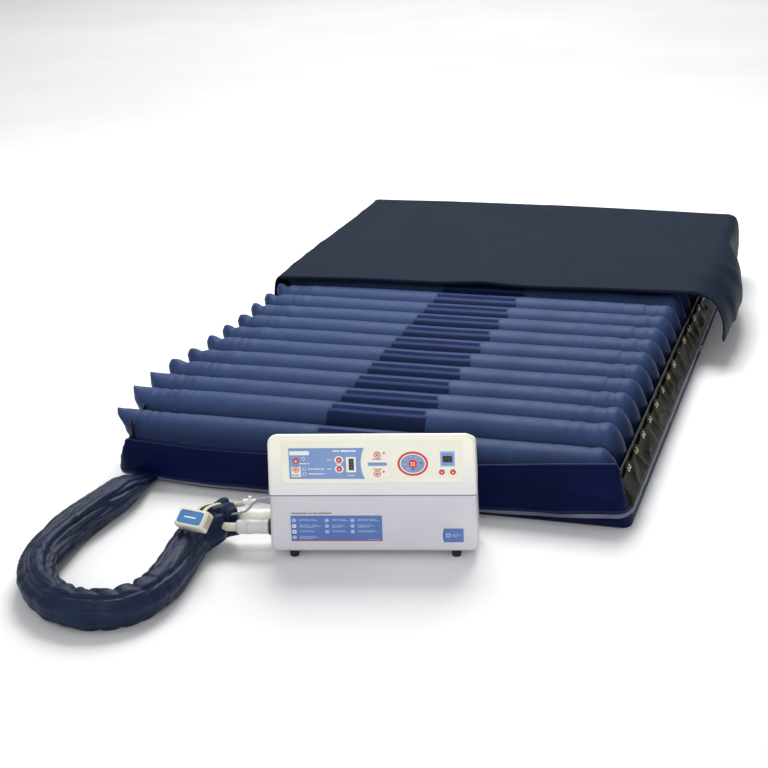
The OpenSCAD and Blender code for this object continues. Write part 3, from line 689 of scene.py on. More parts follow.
def cords():
    sleeve, line = hose_sleeve()
    cap = transport_cap()
    straps = finish_piece(
        join_meshes("cap_straps", [strap(r) for r in TETHER_ROUTES]),
        M_STRAP, replaces=["cap_tether"])
    for k, route in enumerate(HOSE_ROUTES):
        path = catmull(route, 0.002)
        ribs = 0.0093 + 0.0007 * np.cos(2 * np.pi * np.arange(len(path)) / 2.5)
        finish_piece(tube(f"air_hose_{k + 1}", path, ribs, 32), M_TUBING,
                     replaces=["air_hoses"])
    for k, (route, material) in enumerate(zip(TUBE_ROUTES, (M_TUBING, M_PINK))):
        path = catmull(route, 0.003)
        piece = finish_piece(tube(f"pressure_tube_{k + 1}", path, TUBE_D / 2, 16), material,
                             replaces=["pressure_tubes"])
    path = catmull(CABLE_ROUTE, 0.003)
    cable = finish_piece(tube("sensor_cable", path, CABLE_D / 2, 16), M_CABLE,
                         replaces=["sensor_cable"])


cords()

# ---------------------------------------------------------------- air cells

RINGS, ARC, SIDE = 170, 14, 6  # rings along a cell; steps of the top's quarter turn and of its side
FIRST_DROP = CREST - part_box(CELL_NODES[0])[1].z
LOBE_R, EDGE_R = 0.015, 0.018  # radius of a rolled left end, and of a cell's two bottom edges
TUCK_Z = 0.116  # height of the tucked right end
SEAM_GAP = 0.0004  # kept free between a cell and its neighbour


def cell_form(lobed, drop, seed):
    """A filled cell, ring by ring: its crest is level, its left end closes on an upright seam
    that leans out to an ear (pointed, or rolled into a lobe) and its right end is tucked under."""
    u = np.linspace(-1, 1, RINGS + 1)
    x = (TUCK_X - EAR_X) / 2 + (TUCK_X + EAR_X) / 2 * (1.4 * u - 0.4 * u**3)
    left, right = x + EAR_X, TUCK_X - x
    if lobed:
        lobe = LOBE_R * np.sqrt(np.clip(1 - ((left - LOBE_R) / LOBE_R) ** 2, 0, 1))
        narrow = CELL_HALF * np.sin(np.pi / 2 * np.clip((left - 0.014) / 0.050, 0, 1) ** 0.75)
        wide = np.maximum(narrow, lobe)
        rise = (0.003 * np.exp(-(((left - 0.016) / 0.012) ** 2))
                - 0.004 * np.exp(-(((left - 0.038) / 0.010) ** 2))
                - 0.012 * smoothstep(left, 0.008, 0))
    else:
        wide = CELL_HALF * np.sin(np.pi / 2 * np.clip(left / 0.062, 0, 1) ** 0.75)
        rise = 0.0035 * (1 - np.clip(left / 0.034, 0, 1)) ** 1.2
    wide = np.minimum(wide, CELL_HALF * np.sqrt(1 - (1 - np.clip(right / 0.048, 0, 1)) ** 2))
    wide = (wide * (1 - SEAM_GAP / CELL_HALF))[:, None]
    fall = (CREST - drop - TUCK_Z) * (1 - np.clip(right / 0.044, 0, 1)) ** 2.1
    top = CREST - drop + rise + 0.0015 * np.exp(-(((right - 0.048) / 0.018) ** 2)) - fall
    low = CELL_BOTTOM + 0.0005 + 0.018 * smoothstep(left, 0.05, 0) + 0.026 * smoothstep(right, 0.05, 0)
    top, low, r = top[:, None], low[:, None], np.minimum(wide, EDGE_R)
    a = np.radians(np.linspace(-90, 0, 6))[None]
    b = np.radians(np.linspace(0, 90, ARC + 1))[None]
    t = np.linspace(0, 1, SIDE + 1)[None, 1:-1]
    y = np.hstack([0 * wide, wide - r + r * np.cos(a), wide + 0 * t, wide * np.cos(b)])
    z = np.hstack([low, low + r + r * np.sin(a), low + r + (top - wide - low - r) * t,
                   top - wide + wide * np.sin(b)])
    y, z = np.hstack([-y, y[:, -2:0:-1]]), np.hstack([z, z[:, -2:0:-1]])
    x = np.repeat(x[:, None], y.shape[1], 1)
    # Puckers run round the cell near its ends, deepest on its front and crest.
    ends = (smoothstep(x, -0.40, -0.53) * smoothstep(x, -EAR_X, -EAR_X + 0.02)
            + smoothstep(x, 0.34, 0.48))
    bent = x / 0.021 + 0.35 * noise(x / 0.06, z / 0.05, seed + 70)
    ripple = crease(bent, z / 0.16 + y / 0.2, seed + 80)
    depth = 0.0030 * ends * ripple * smoothstep(np.abs(wide), 0.004, 0.03)
    share = (z - low) / (top - low)
    z = z - depth * smoothstep(share, 0.6, 1)
    y = y - depth * y / np.maximum(wide, 1e-4)
    near = smoothstep(x, -EAR_X + 0.17, -EAR_X)
    x = x + (0.014 * smoothstep(z, 0.154, 0.120)
             + (EAR_X - FOOT_X - 0.014) * smoothstep(z, 0.122, 0.050)) * near
    if lobed:
        x = x + 0.010 * smoothstep(share, 0.82, 0.68) * smoothstep(left, 0.04, 0.0)[:, None]
    return np.stack([x, y, z], -1)


def cell_mesh(points):
    """Closed mesh of a cell: the rings at its ends are flat and are sewn shut."""
    def sew(bm):
        bmesh.ops.remove_doubles(bm, verts=bm.verts, dist=2e-5)
        face_outwards(bm)

    rings, count = points.shape[:2]
    mesh = mesh_from("cell", points.reshape(-1, 3), grid_faces(rings, count, wrap_cols=True))
    edit(mesh, sew)
    return mesh


SETTLE_FRAMES = 12


def settle(mesh, seed):
    """Cloth simulation of a cell's two ends: air inside presses on slack cloth, which puckers.
    The rest of the cell is held by its neighbours."""
    obj = link("cell_form", mesh)
    held, slack = obj.vertex_groups.new(name="held"), obj.vertex_groups.new(name="slack")
    rng = np.random.default_rng(seed)
    for v in mesh.vertices:
        end = float(smoothstep(abs(v.co.x), 0.40, 0.50))
        if end < 1:
            held.add([v.index], 1 - end, "REPLACE")
        slack.add([v.index], end, "REPLACE")
        v.co.y += rng.uniform(-0.0004, 0.0004) * end
    cloth = obj.modifiers.new("cloth", "CLOTH")
    s = cloth.settings
    s.quality, s.mass, s.air_damping = 6, 0.15, 4
    s.tension_stiffness, s.compression_stiffness = 40, 20
    s.shear_stiffness, s.bending_stiffness = 12, 0.05
    s.tension_damping = s.compression_damping = s.shear_damping = 12
    s.vertex_group_mass, s.pin_stiffness = "held", 1.0
    s.vertex_group_shrink, s.shrink_min, s.shrink_max = "slack", 0.0, -0.035
    s.use_pressure, s.uniform_pressure_force = True, 2.5
    s.effector_weights.gravity = 0
    cloth.collision_settings.use_collision = False
    cloth.point_cache.frame_start, cloth.point_cache.frame_end = 1, SETTLE_FRAMES
    for f in range(1, SETTLE_FRAMES + 1):
        bpy.context.scene.frame_set(f)
    applied(obj)
    bpy.context.scene.frame_set(1)
    settled = obj.data
    bpy.data.objects.remove(obj)
    return settled


def air_cells():
    # (left end is a lobe, how far its tip reaches past the others', its fold to the side)
    ends = [(False, 0.014, 0.0), (False, 0.020, 0.002), (False, 0.022, 0.0), (True, 0.020, 0.006),
            (True, 0.008, -0.005), (True, 0.002, 0.007), (True, -0.002, 0.003), (True, -0.008, -0.005),
            (True, -0.004, 0.004), (True, -0.006, 0.0), (True, -0.004, 0.003)]
    forms = {}
    for n, node in enumerate(CELL_NODES):
        lobed, reach, fold = ends[n]
        key = (lobed, FIRST_DROP if n == 0 else 0.0, n % 2 if lobed else 0)
        if key not in forms:
            form = cell_mesh(cell_form(*key[:2], len(forms)))
            forms[key] = settle(form, len(forms))
        mesh = forms[key].copy()
        co = np.array([v.co for v in mesh.vertices])
        if n % 4 > 1:
            co[:, 1] *= -1
            mesh.flip_normals()
        tip = smoothstep(co[:, 0], -EAR_X + 0.10, -EAR_X)
        co[:, 0] -= reach * tip
        bend = fold * smoothstep(co[:, 0], -EAR_X + 0.045, -EAR_X)
        co[:, 1] += bend * smoothstep(co[:, 2], 0.10, CREST)
        wander = 0.0011 * noise(co[:, 0] / 0.15, 0.3 + n * 7.7, 30)
        co[:, 2] += wander * smoothstep(co[:, 2], 0.1, CREST)
        co[:, 1] = np.clip(co[:, 1], -CELL_PITCH / 2 + SEAM_GAP, CELL_PITCH / 2 - SEAM_GAP)
        co[:, 2] = np.maximum(co[:, 2], CELL_BOTTOM)
        mesh.vertices.foreach_set("co", co.ravel())
        mesh.update()
        place_cell(mesh, n, node)
    plain = cell_mesh(cell_form(True, 0.0, 9)[::2, ::2])
    for n in range(len(CELL_NODES), CELL_COUNT):
        place_cell(plain.copy(), n, "covered_air_cells")


def place_cell(mesh, n, node):
    place = Matrix.Translation((0, CELL_Y1 + n * CELL_PITCH, 0))
    mesh.polygons.foreach_set("use_smooth", [True] * len(mesh.polygons))
    obj = finish_piece(link(f"cell_{n + 1:02d}", mesh, place), M_CELL, replaces=[node])


air_cells()

# ---------------------------------------------------------------- base cover, zip and retainers


def outline_points(half_w, half_l, r, step):
    """Points, outward normals and distance round a rounded rectangle, from the head's middle."""
    pieces = []
    for (cx, cy), a in (((half_w - r, half_l - r), 90), ((half_w - r, r - half_l), 0),
                        ((r - half_w, r - half_l), -90), ((r - half_w, half_l - r), -180)):
        angle = np.radians(a - np.linspace(0, 90, 9))
        pieces.append(np.stack([cx + r * np.cos(angle), cy + r * np.sin(angle)], -1))
    corner = np.vstack([*pieces, pieces[0][:1]])
    points = []
    for p, q in zip(corner, corner[1:]):
        m = max(1, round(np.linalg.norm(q - p) / step))
        points += [p + (q - p) * k / m for k in range(m)]
    points = np.array(points)
    inner = np.clip(points, [r - half_w, r - half_l], [half_w - r, half_l - r])
    normal = points - inner
    normal /= np.linalg.norm(normal, axis=1)[:, None]
    return points, normal, distances(points)


WALL_R = 0.030
WALL_XY, WALL_N, WALL_S = outline_points(HALF_W, HALF_L, WALL_R, 0.006)


def front_share():
    """1 along the foot end's wall, 0 along the sides; it ends on a slant at the corners."""
    slant = smoothstep(np.abs(WALL_XY[:, 0]), HALF_W - 0.001, HALF_W - 0.032)
    return slant * (WALL_XY[:, 1] < 0)


def hem_height():
    front = np.interp(WALL_XY[:, 0], [-0.61, -0.56, -0.40, -0.20, 0.28, 0.45, 0.58],
                      [0.113, 0.107, 0.099, 0.102, 0.122, 0.140, 0.152])
    head = smoothstep(WALL_XY[:, 1], HALF_L - 0.034, HALF_L - 0.012)
    share = front_share()
    return front * share + COVER_H * head + (ZIP_Z + 0.010) * (1 - share - head)


def zip_height():
    front = np.interp(WALL_XY[:, 0], [-0.61, -0.55, -0.45, -0.25, 0.28, 0.45, 0.56, 0.61],
                      [0.028, 0.022, 0.018, 0.017, 0.022, 0.029, 0.040, 0.045])
    share = smoothstep(WALL_XY[:, 1], -HALF_L + 0.10, -HALF_L + 0.01)
    return front * share + ZIP_Z * (1 - share)


def underside_height():
    """The foot end's left corner is held up where the sleeve comes out below it."""
    x, y = WALL_XY.T
    return 0.002 + 0.014 * smoothstep(x, -0.38, -0.56) * smoothstep(y, -HALF_L + 0.14, -HALF_L + 0.02)


HEM_Z, ZIP_LINE, UNDER_Z = hem_height(), zip_height(), underside_height()


def wall_offset(z):
    """How far the cover's wall stands out from its straight place, for each outline point."""
    share = front_share()[:, None]
    height = (z - UNDER_Z[:, None]) / (HEM_Z - UNDER_Z)[:, None]
    across, around = WALL_XY[:, :1], WALL_S[:, None]
    belly = np.sin(np.pi * np.clip(height, 0, 1)) ** 0.7
    out = belly * (0.003 + 0.013 * share)
    slant = z + 0.10 * across
    folds = (crease(around / 0.32, slant / 0.030, 41) * 0.006
             + noise(around / 0.07, slant / 0.02, 42) * 0.0018)
    out = out + folds * belly * share
    out = out + (1 - share) * 0.0008 * noise(around / 0.05, z / 0.03, 43) * belly
    return out - 0.005 * smoothstep(height, 0.15, 0) * share


def wall_points(z, extra=0.0):
    """Points on the cover's wall at the heights z, one row for each outline point."""
    out = wall_offset(z) + extra
    xy = WALL_XY[:, None] + WALL_N[:, None] * out[..., None]
    return np.concatenate([xy, z[..., None]], -1)


def base_cover():
    """Walls and bottom of the cover in one skin: a tucked bottom, a bellied wall and a hem."""
    t = np.linspace(0, 1, 22)[None]
    z = UNDER_Z[:, None] + (HEM_Z - UNDER_Z)[:, None] * t
    wall = wall_points(z)
    inward = -WALL_N[:, None]
    bottom = []
    for back in (0.30, 0.10, 0.03, 0.012):
        xy = WALL_XY + WALL_N * -back
        lift = (UNDER_Z - 0.002) * smoothstep(back, 0.16, 0.02)
        bottom.append(np.concatenate([xy, (0.002 + lift)[:, None]], -1)[:, None])
    roll = [wall[:, -1:] + np.concatenate([inward[..., :2] * a, np.full((len(z), 1, 1), b)], -1)
            for a, b in ((0.0014, 0.0016), (0.0030, 0.0010), (0.0036, -0.004), (0.0038, -0.014))]
    grid = np.concatenate([*bottom, wall, *roll], 1)
    faces = grid_faces(len(grid), grid.shape[1], wrap_rows=True, flip=True)
    cols = grid.shape[1]
    faces.append(tuple(i * cols for i in range(len(grid))))
    mesh = mesh_from("base_cover", grid.reshape(-1, 3), faces)
    finish_piece(link("base_cover_skin", mesh), M_NAVY, replaces=["base_cover"])
    hem_line = wall[:, -1] + np.concatenate([inward[:, 0] * 0.0004, np.zeros((len(z), 1))], -1)
    keep = (front_share() > 0.6) | (WALL_XY[:, 1] > HALF_L - 0.02)
    cords_round = [taken(tube("hem", run, 0.0021, 8)) for run in stretches(hem_line, keep)]
    finish_piece(join_meshes("base_cover_hem", cords_round, sharp=None), M_HEM)


def stretches(line, keep):
    """The runs of points where keep is true, of a closed line where it isn't true throughout."""
    first = int(np.argmin(keep))
    line, keep = np.roll(line, -first, 0), np.roll(keep, -first)
    edges = np.flatnonzero(np.diff(np.concatenate([[0], keep.astype(int), [0]])))
    return [line[a:b] for a, b in zip(edges[::2], edges[1::2]) if b - a > 3]


TOOTH_PITCH = 0.0042


def zip_parts():
    """Zip tape round the cover, the row of teeth above it, and a second tape over the teeth."""
    def strip(low, high, out, name, material, replaces=()):
        rows = 5
        t = np.linspace(0, 1, rows)[None]
        z = ZIP_LINE[:, None] + low + (high - low) * t
        puff = out + 0.0006 * np.sin(np.pi * t) + np.zeros_like(z)
        grid = wall_points(z, puff)
        back = wall_points(z[:, [-1, 0]], np.full((len(z), 2), 0.0002))
        grid = np.concatenate([grid, back], 1)
        faces = grid_faces(len(grid), rows + 2, wrap_rows=True, wrap_cols=True, flip=True)
        mesh = mesh_from(name, grid.reshape(-1, 3), faces)
        return finish_piece(link(name, mesh), material, replaces=replaces)

    strip(-0.0100, 0.0005, 0.0014, "zip_tape_lower", M_TAPE, ["zip_track"])
    strip(0.0005, 0.0085, 0.0009, "zip_tape_upper", M_TEETH)
    points = wall_points(np.stack([ZIP_LINE + 0.0005, ZIP_LINE + 0.0050], 1), 0.0016)
    s = distances(points[:, 0])
    meshes = []
    for d in np.arange(0.004, s[-1] - 0.004, TOOTH_PITCH):
        i = int(np.searchsorted(s, d)) - 1
        f = (d - s[i]) / (s[i + 1] - s[i])
        low, high = points[i] + (points[i + 1] - points[i]) * f
        ahead = points[i + 1, 0] - points[i, 0]
        ahead = ahead / np.linalg.norm(ahead) * 0.0011
        out = np.append(WALL_N[i], 0) * 0.0008
        corner = [p + a * ahead + b * out for p in (low, high) for a, b in
                  ((-1, -0.6), (1, -0.6), (0.7, 0.6), (-0.7, 0.6))]
        meshes.append((corner, [(3, 2, 1, 0), (4, 5, 6, 7), (0, 1, 5, 4), (1, 2, 6, 5), (2, 3, 7, 6),
                                (3, 0, 4, 7)]))
    finish_piece(join_meshes("zip_teeth", meshes, sharp=30), M_TEETH)


def support_pad():
    """Coated pad that the cells stand on, with soft edges."""
    size = BOARD_HI - BOARD_LO
    mesh = rounded_box((size.x, size.y, size.z - 0.002), 0.015, 4)
    obj = link("support_pad", mesh, Matrix.Translation((BOARD_LO + BOARD_HI) / 2))
    finish_piece(obj, M_BASE, replaces=["support_base"])


SNAP_R, SNAP_GAP = 0.006, 0.0085  # radius, and distance from the cells' boundary
RETAINER_IN = 0.031  # how far a retainer strip's top is in from its bottom
LEAN = math.atan(RETAINER_IN / 0.056)


CLOTH = 0.0009  # thickness of the strips


def retainer(side, label):
    """Coated strip that leans in over the cells' ends above the zip. Pairs of snaps hold it to
    a corded edge at each cell boundary; creases run across it and bend towards the zip."""
    name = f"retainer_{label}"
    y = np.arange(-HALF_L + 0.006, HALF_L - 0.028, 0.005)
    phase = (y - (CELL_Y1 - CELL_PITCH / 2)) / CELL_PITCH
    held = np.exp(-(((phase - np.round(phase)) * CELL_PITCH) / 0.024) ** 4)
    corner = 0.030 * (1 - np.sqrt(1 - smoothstep(y, -HALF_L + 0.034, -HALF_L) ** 2 * 0.9))
    rows = 20
    t = np.linspace(0, 1, rows)[None]
    low = ZIP_Z + 0.006
    high = (SNAP_Z + 0.003 + 0.007 * held)[:, None]
    z = low + (high - low) * t
    flat = HALF_W + 0.0030 - corner[:, None] - np.maximum(z - 0.056, 0) * math.tan(LEAN)
    arc = y[:, None] + 0.030 * np.sin(np.pi * t * 0.8)
    bent = arc / 0.050 + 0.3 * noise(arc / 0.2, 1, 50)
    folds = crease(bent, t * 1.3 + 3, 51 if side > 0 else 52) * 0.0060
    folds = folds + noise(arc / 0.014, t * 2.5, 53) * 0.0009 - 0.0016
    free = np.sin(np.pi * np.clip(t * 0.93 + 0.05, 0, 1)) ** 0.6 * (1 - 0.35 * held[:, None] * t)
    x = flat + folds * free
    grid = np.stack([side * x, np.broadcast_to(y[:, None], x.shape), z + folds * free * 0.4], -1)
    obj = link(name, mesh_from(name, grid.reshape(-1, 3), grid_faces(len(y), rows, flip=side < 0)))
    finish_piece(thicken(obj, CLOTH), M_RETAINER, replaces=[f"cell_retainer_{label}"])
    # The inner layer goes on up to the cord, which kinks at each cell boundary.
    cord_x = HALF_W - RETAINER_IN - 0.0005 - corner + 0.0030 * held
    apart = np.clip(1 - np.abs(phase - np.round(phase)) * CELL_PITCH / 0.032, 0, 1)
    cord_z = SNAP_Z + 0.0165 + 0.0030 * held + (0.036 if side < 0 else 0.004) * apart
    u = np.linspace(0, 1, 8)[None]
    inner_x = flat[:, -1:] - 0.004 + (cord_x[:, None] - flat[:, -1:] + 0.004) * u
    inner_z = 0.080 + (cord_z[:, None] - 0.080) * u
    inner_x = inner_x + 0.0015 * noise(y[:, None] / 0.03, u * 2, 54)
    inner = np.stack([side * inner_x, np.broadcast_to(y[:, None], inner_x.shape), inner_z], -1)
    back = link(f"{name}_inner", mesh_from(f"{name}_inner", inner.reshape(-1, 3),
                                           grid_faces(len(y), 8, flip=side < 0)))
    finish_piece(thicken(back, CLOTH), M_RETAINER)
    cord = np.stack([side * cord_x, y, cord_z], -1)
    finish_piece(tube(f"{name}_cord", cord, 0.0015, 8), M_PIPING)


def snap_fasteners():
    """Domed metal snaps in pairs at each cell boundary, a rim round each and a dimple in it."""
    profile = [(SNAP_R * a, b * MM) for a, b in (
        (0.7, -0.6), (0.98, -0.4), (1.0, 0.2), (0.97, 0.7), (0.86, 1.0), (0.74, 0.8), (0.66, 1.3),
        (0.5, 1.9), (0.32, 2.1), (0.2, 1.9), (0.06, 1.6))]
    meshes, sides = [], 20
    for side in (-1, 1):
        for n in range(1, CELL_COUNT):
            for k in (-1, 1):
                at = Vector((side * SNAP_X, CELL_Y1 + (n - 0.5) * CELL_PITCH + k * SNAP_GAP, SNAP_Z))
                out = Vector((side * math.cos(LEAN), 0, math.sin(LEAN)))
                up = Vector((-side * math.sin(LEAN), 0, math.cos(LEAN)))
                along = up.cross(out)
                verts = [at + h * out + q * math.cos(t) * along + q * math.sin(t) * up
                         for q, h in profile for t in turns(sides)]
                meshes.append((verts, skin_faces(len(profile), sides, both=False)))
    finish_piece(join_meshes("snaps", meshes, sharp=50), M_SNAP, replaces=["snap_fasteners"])


base_cover()
zip_parts()
support_pad()
retainer(-1, "left")
retainer(1, "right")
snap_fasteners()

# ---------------------------------------------------------------- folded top cover

COVER_IN_X, COVER_IN_Y = 0.585, 0.985  # the flat middle of the cover ends here
SKIRT = 0.170
FOLD_R = 0.006


def cover_front(p):
    """Where the folded front edge lies, for the distance p across the cloth."""
    edge = COVER_IN_X + SKIRT
    return np.interp(p, [-edge, -0.62, -0.54, -0.21, 0.0, 0.24, 0.42, 0.53, 0.60, 0.66, edge],
                     [0.052, 0.060, 0.065, 0.078, 0.086, 0.096, 0.108, 0.124, 0.134, 0.130, 0.066])


def skirt_curve(e, controls):
    """Cubic curve through the skirt from its shoulder to its hem: (out, height) for e 0 to 1."""
    c0, c1, c2, c3 = controls
    e = e[..., None]
    return (1 - e) ** 3 * c0 + 3 * (1 - e) ** 2 * e * c1 + 3 * (1 - e) * e**2 * c2 + e**3 * c3


def cover_layer(p, q, inner):
    """Points of the cover's cloth. p runs across and q along it; inner is the lower layer."""
    dp, dq = np.maximum(np.abs(p) - COVER_IN_X, 0), np.maximum(q - COVER_IN_Y, 0)
    d = np.where((dp > 0) & (dq > 0), np.maximum(dp, dq), dp + dq)
    turn = np.where((dp > 0) | (dq > 0), np.arctan2(dq, np.maximum(dp, 1e-9)), 0.0)
    e = np.clip(d / SKIRT, 0, 1)
    base_x, base_y = np.clip(p, -COVER_IN_X, COVER_IN_X), np.minimum(q, COVER_IN_Y)
    front = cover_front(p)
    near_front = smoothstep(q - front, 0.16, 0.0)
    top = TOP_HI.z - 0.003 - 0.006 * near_front - 0.004 * smoothstep(np.abs(p), 0.3, 0.6)
    top = (top + 0.0022 * noise(p / 0.40, q / 0.20, 61)
           + 0.0022 * noise(p / 0.16, q / 0.05, 62) * near_front)
    top = top + 0.005 * np.exp(-(p / 0.07) ** 2) * near_front
    # Controls (out from the middle's edge, height): the right skirt flares at the front and
    # bulges behind it, the left one hangs straight down and the head end's is square.
    y_out = np.clip(base_y, 0, COVER_IN_Y)
    at = [0.0, 0.12, 0.25, 0.42, 0.58, 0.70, 1.0]
    reach = np.interp(y_out, at, [0.108, 0.112, 0.116, 0.118, 0.104, 0.064, 0.048])
    high = np.interp(y_out, at, [0.135, 0.142, 0.162, 0.190, 0.188, 0.190, 0.196])
    first = np.interp(y_out, at, [0.55, 0.55, 0.50, 0.48, 0.60, 0.85, 0.95]) * reach
    hem = np.interp(y_out, [0.0, 0.10, 0.30, 0.60, 1.0], [0.080, 0.086, 0.094, 0.088, 0.082])
    straight = smoothstep(p, -0.3, -0.5)
    head = turn / (np.pi / 2)
    reach = reach * (1 - straight) + (-TOP_LO.x - 0.003 - COVER_IN_X) * straight
    high = high * (1 - straight) + 0.198 * straight
    first = first * (1 - straight) + 0.92 * reach * straight
    reach, high = reach * (1 - head) + 0.050 * head, high * (1 - head) + 0.190 * head
    hem, first = hem * (1 - head) + 0.076 * head, first * (1 - head) + 0.045 * head
    around = np.where(dq > 0, q - COVER_IN_Y + 0.8 * head + 1.0, q) * np.sign(p + 1e-9)
    flutter = noise(around / 0.085, 0.5, 63) * 0.7 + noise(around / 0.035, 1.5, 64) * 0.3
    reach = reach + 0.010 * flutter * (1 - 0.8 * straight) - 0.004 * (1 - straight)
    zero = np.zeros_like(top)
    controls = [np.stack(pair, -1) for pair in ((zero, top), (first, top + 0.001),
                                                (reach * 1.06, high), (reach, hem))]
    curve = skirt_curve(e, controls)
    out, z = curve[..., 0], curve[..., 1]
    if inner:
        out = out - (0.007 - 0.003 * straight) * smoothstep(e, 0, 0.4)
        z = z - 2 * FOLD_R * (1 - smoothstep(e, 0.0, 0.5)) + 0.010 * smoothstep(e, 0.6, 1)
    z = z + 0.004 * noise(around / 0.06, e * 2 + 0.3, 65) * e * (1 - e) * 2
    x = base_x + np.sign(p) * np.cos(turn) * out
    y = base_y + np.sin(turn) * out
    return np.stack([x, y, z], -1)


def top_cover():
    """The cover's cloth folded over on itself: upper layer, rolled front edge, lower layer."""
    edge = COVER_IN_X + SKIRT
    p = np.concatenate([np.linspace(-edge, -COVER_IN_X, 26)[:-1],
                        np.linspace(-COVER_IN_X, COVER_IN_X, 96),
                        np.linspace(COVER_IN_X, edge, 26)[1:]])
    far = COVER_IN_Y + SKIRT

    def rows(count, inner):
        skirt = np.linspace(far, COVER_IN_Y, 18)[:-1]
        v = np.linspace(1, 0, count)
        flat_rows = cover_front(p)[None] + v[:, None] * (COVER_IN_Y - cover_front(p))[None]
        q = np.vstack([np.repeat(skirt[:, None], len(p), 1), flat_rows])
        return cover_layer(np.repeat(p[None], len(q), 0), q, inner)

    upper, lower = rows(90, False), rows(34, True)[::-1]
    middle, half = (upper[-1] + lower[0]) / 2, (upper[-1] - lower[0]) / 2
    roll = [middle + math.cos(a) * half + math.sin(a) * np.array([0, -FOLD_R, 0])
            for a in np.radians([20, 45, 70, 90, 110, 135, 160])]
    grid = np.concatenate([upper, np.array(roll), lower], 0)
    mesh = mesh_from("top_cover_cloth", grid.reshape(-1, 3), grid_faces(len(grid), len(p), flip=True))
    obj = thicken(link("top_cover_cloth", mesh), 0.0014)
    finish_piece(obj, M_SLATE, replaces=["top_cover"])


top_cover()

# ---------------------------------------------------------------- blower unit: case

CASE_LOW, CASE_HIGH, CASE_D, TOP_FALL = 0.016, 0.282, 0.130, 0.050
CASE_B, CASE_T = 0.2205, 0.2145  # half widths at the bottom and the top
SEAM_Z, CASE_WALL = 0.148, 0.0026
PANEL = (-0.186, 0.175, 0.190, 0.270)  # left, bottom, right and top of the panel's opening
PLATE_Y = 0.0012  # the panel's face
RECESS = (0.062, 0.024, 0.092, 0.212)  # the carry recess: half width, front, back and floor


def case_outline(inset):
    r_low, r_top = 0.019 - inset, 0.022 - inset
    b, t, low, high = CASE_B - inset, CASE_T - inset, CASE_LOW + inset, CASE_HIGH - inset
    return (ellipse(t - r_top, high - r_top, r_top, r_top, 10, 0, 90)
            + ellipse(-t + r_top, high - r_top, r_top, r_top, 10, 90, 90)
            + ellipse(-b + r_low, low + r_low, r_low, r_low, 8, 180, 90)
            + ellipse(b - r_low, low + r_low, r_low, r_low, 8, 270, 90))


def case_shell(name, inset, keep_above):
    """Half of the case as a hollow shell: edges rounded to the front and back, top sloping."""
    front_r, back_r = 0.009, 0.014
    arcs = np.radians(np.linspace(0, 90, 7))
    sections = [(front_r * (1 - math.cos(a)), front_r * (1 - math.sin(a))) for a in arcs]
    sections += [(CASE_D - back_r * (1 - math.cos(a)), back_r * (1 - math.sin(a))) for a in arcs[::-1]]
    verts = []
    for y, shrink in sections:
        depth = inset + y * (CASE_D - 2 * inset) / CASE_D
        for x, z in case_outline(inset + shrink):
            share = min(max((z - SEAM_Z - 0.01) / (CASE_HIGH - SEAM_Z - 0.01), 0), 1)
            verts.append((x, depth, z - TOP_FALL * max(depth - 0.010, 0) / (CASE_D - 0.010) * share))
    count = len(case_outline(0))
    mesh = mesh_from(name, verts, skin_faces(len(sections), count, flip=True), 35)
    height = SEAM_Z + (0.0005 if keep_above else -0.0007)

    def halve(bm):
        face_outwards(bm)
        bmesh.ops.bisect_plane(bm, geom=[*bm.verts, *bm.edges, *bm.faces],
                               plane_co=(0, 0, height), plane_no=(0, 0, 1),
                               clear_inner=keep_above, clear_outer=not keep_above)

    edit(mesh, halve)
    obj = thicken(link(name, mesh, UNIT), CASE_WALL)
    cut(obj, prism(rounded_rect(-0.205, 0.030, 0.205, 0.220, 0.002), 0.1255, 0.150))
    return obj


def case_parts():
    upper = case_shell("case_upper", 0.0, True)
    cut(upper, prism(rounded_rect(*PANEL, 0.0035), -0.02, 0.006))
    half, front, back, floor = RECESS
    cut(upper, prism(rounded_rect(-half, floor, half, 0.300, 0.004), front, back))
    smooth_by_angle(upper.data, 35)
    finish_piece(upper, M_CASE, replaces=["upper_case"])
    lower = case_shell("case_lower", 0.0015, False)
    smooth_by_angle(lower.data, 35)
    finish_piece(lower, M_CASE_LOW, replaces=["lower_case"])
    # Frame lip round the panel, lining of the carry recess and the seam's shadow gap.
    x0, z0, x1, z1 = PANEL
    lip = band(rounded_rect(x0 - 0.0022, z0 - 0.0022, x1 + 0.0022, z1 + 0.0022, 0.005),
               rounded_rect(x0 - 0.0004, z0 - 0.0004, x1 + 0.0004, z1 + 0.0004, 0.0035), -0.0005, 0.002)
    finish_piece(join_meshes("panel_lip", [lip], UNIT), M_CASE)
    finish_piece(join_meshes("carry_recess", recess_lining(), UNIT), M_CASE)
    out = CASE_B - (CASE_B - CASE_T) * (SEAM_Z - CASE_LOW) / (CASE_HIGH - CASE_LOW) - 0.0011
    gap = band(rounded_rect(-out, 0.0011, out, CASE_D - 0.0011, 0.008),
               rounded_rect(-out + 0.008, 0.009, out - 0.008, CASE_D - 0.009, 0.006),
               SEAM_Z - 0.0026, SEAM_Z + 0.004)
    gap = ([(x, z, y) for x, y, z in gap[0]], [f[::-1] for f in gap[1]])
    finish_piece(join_meshes("case_seam", [gap], UNIT), M_INNER)


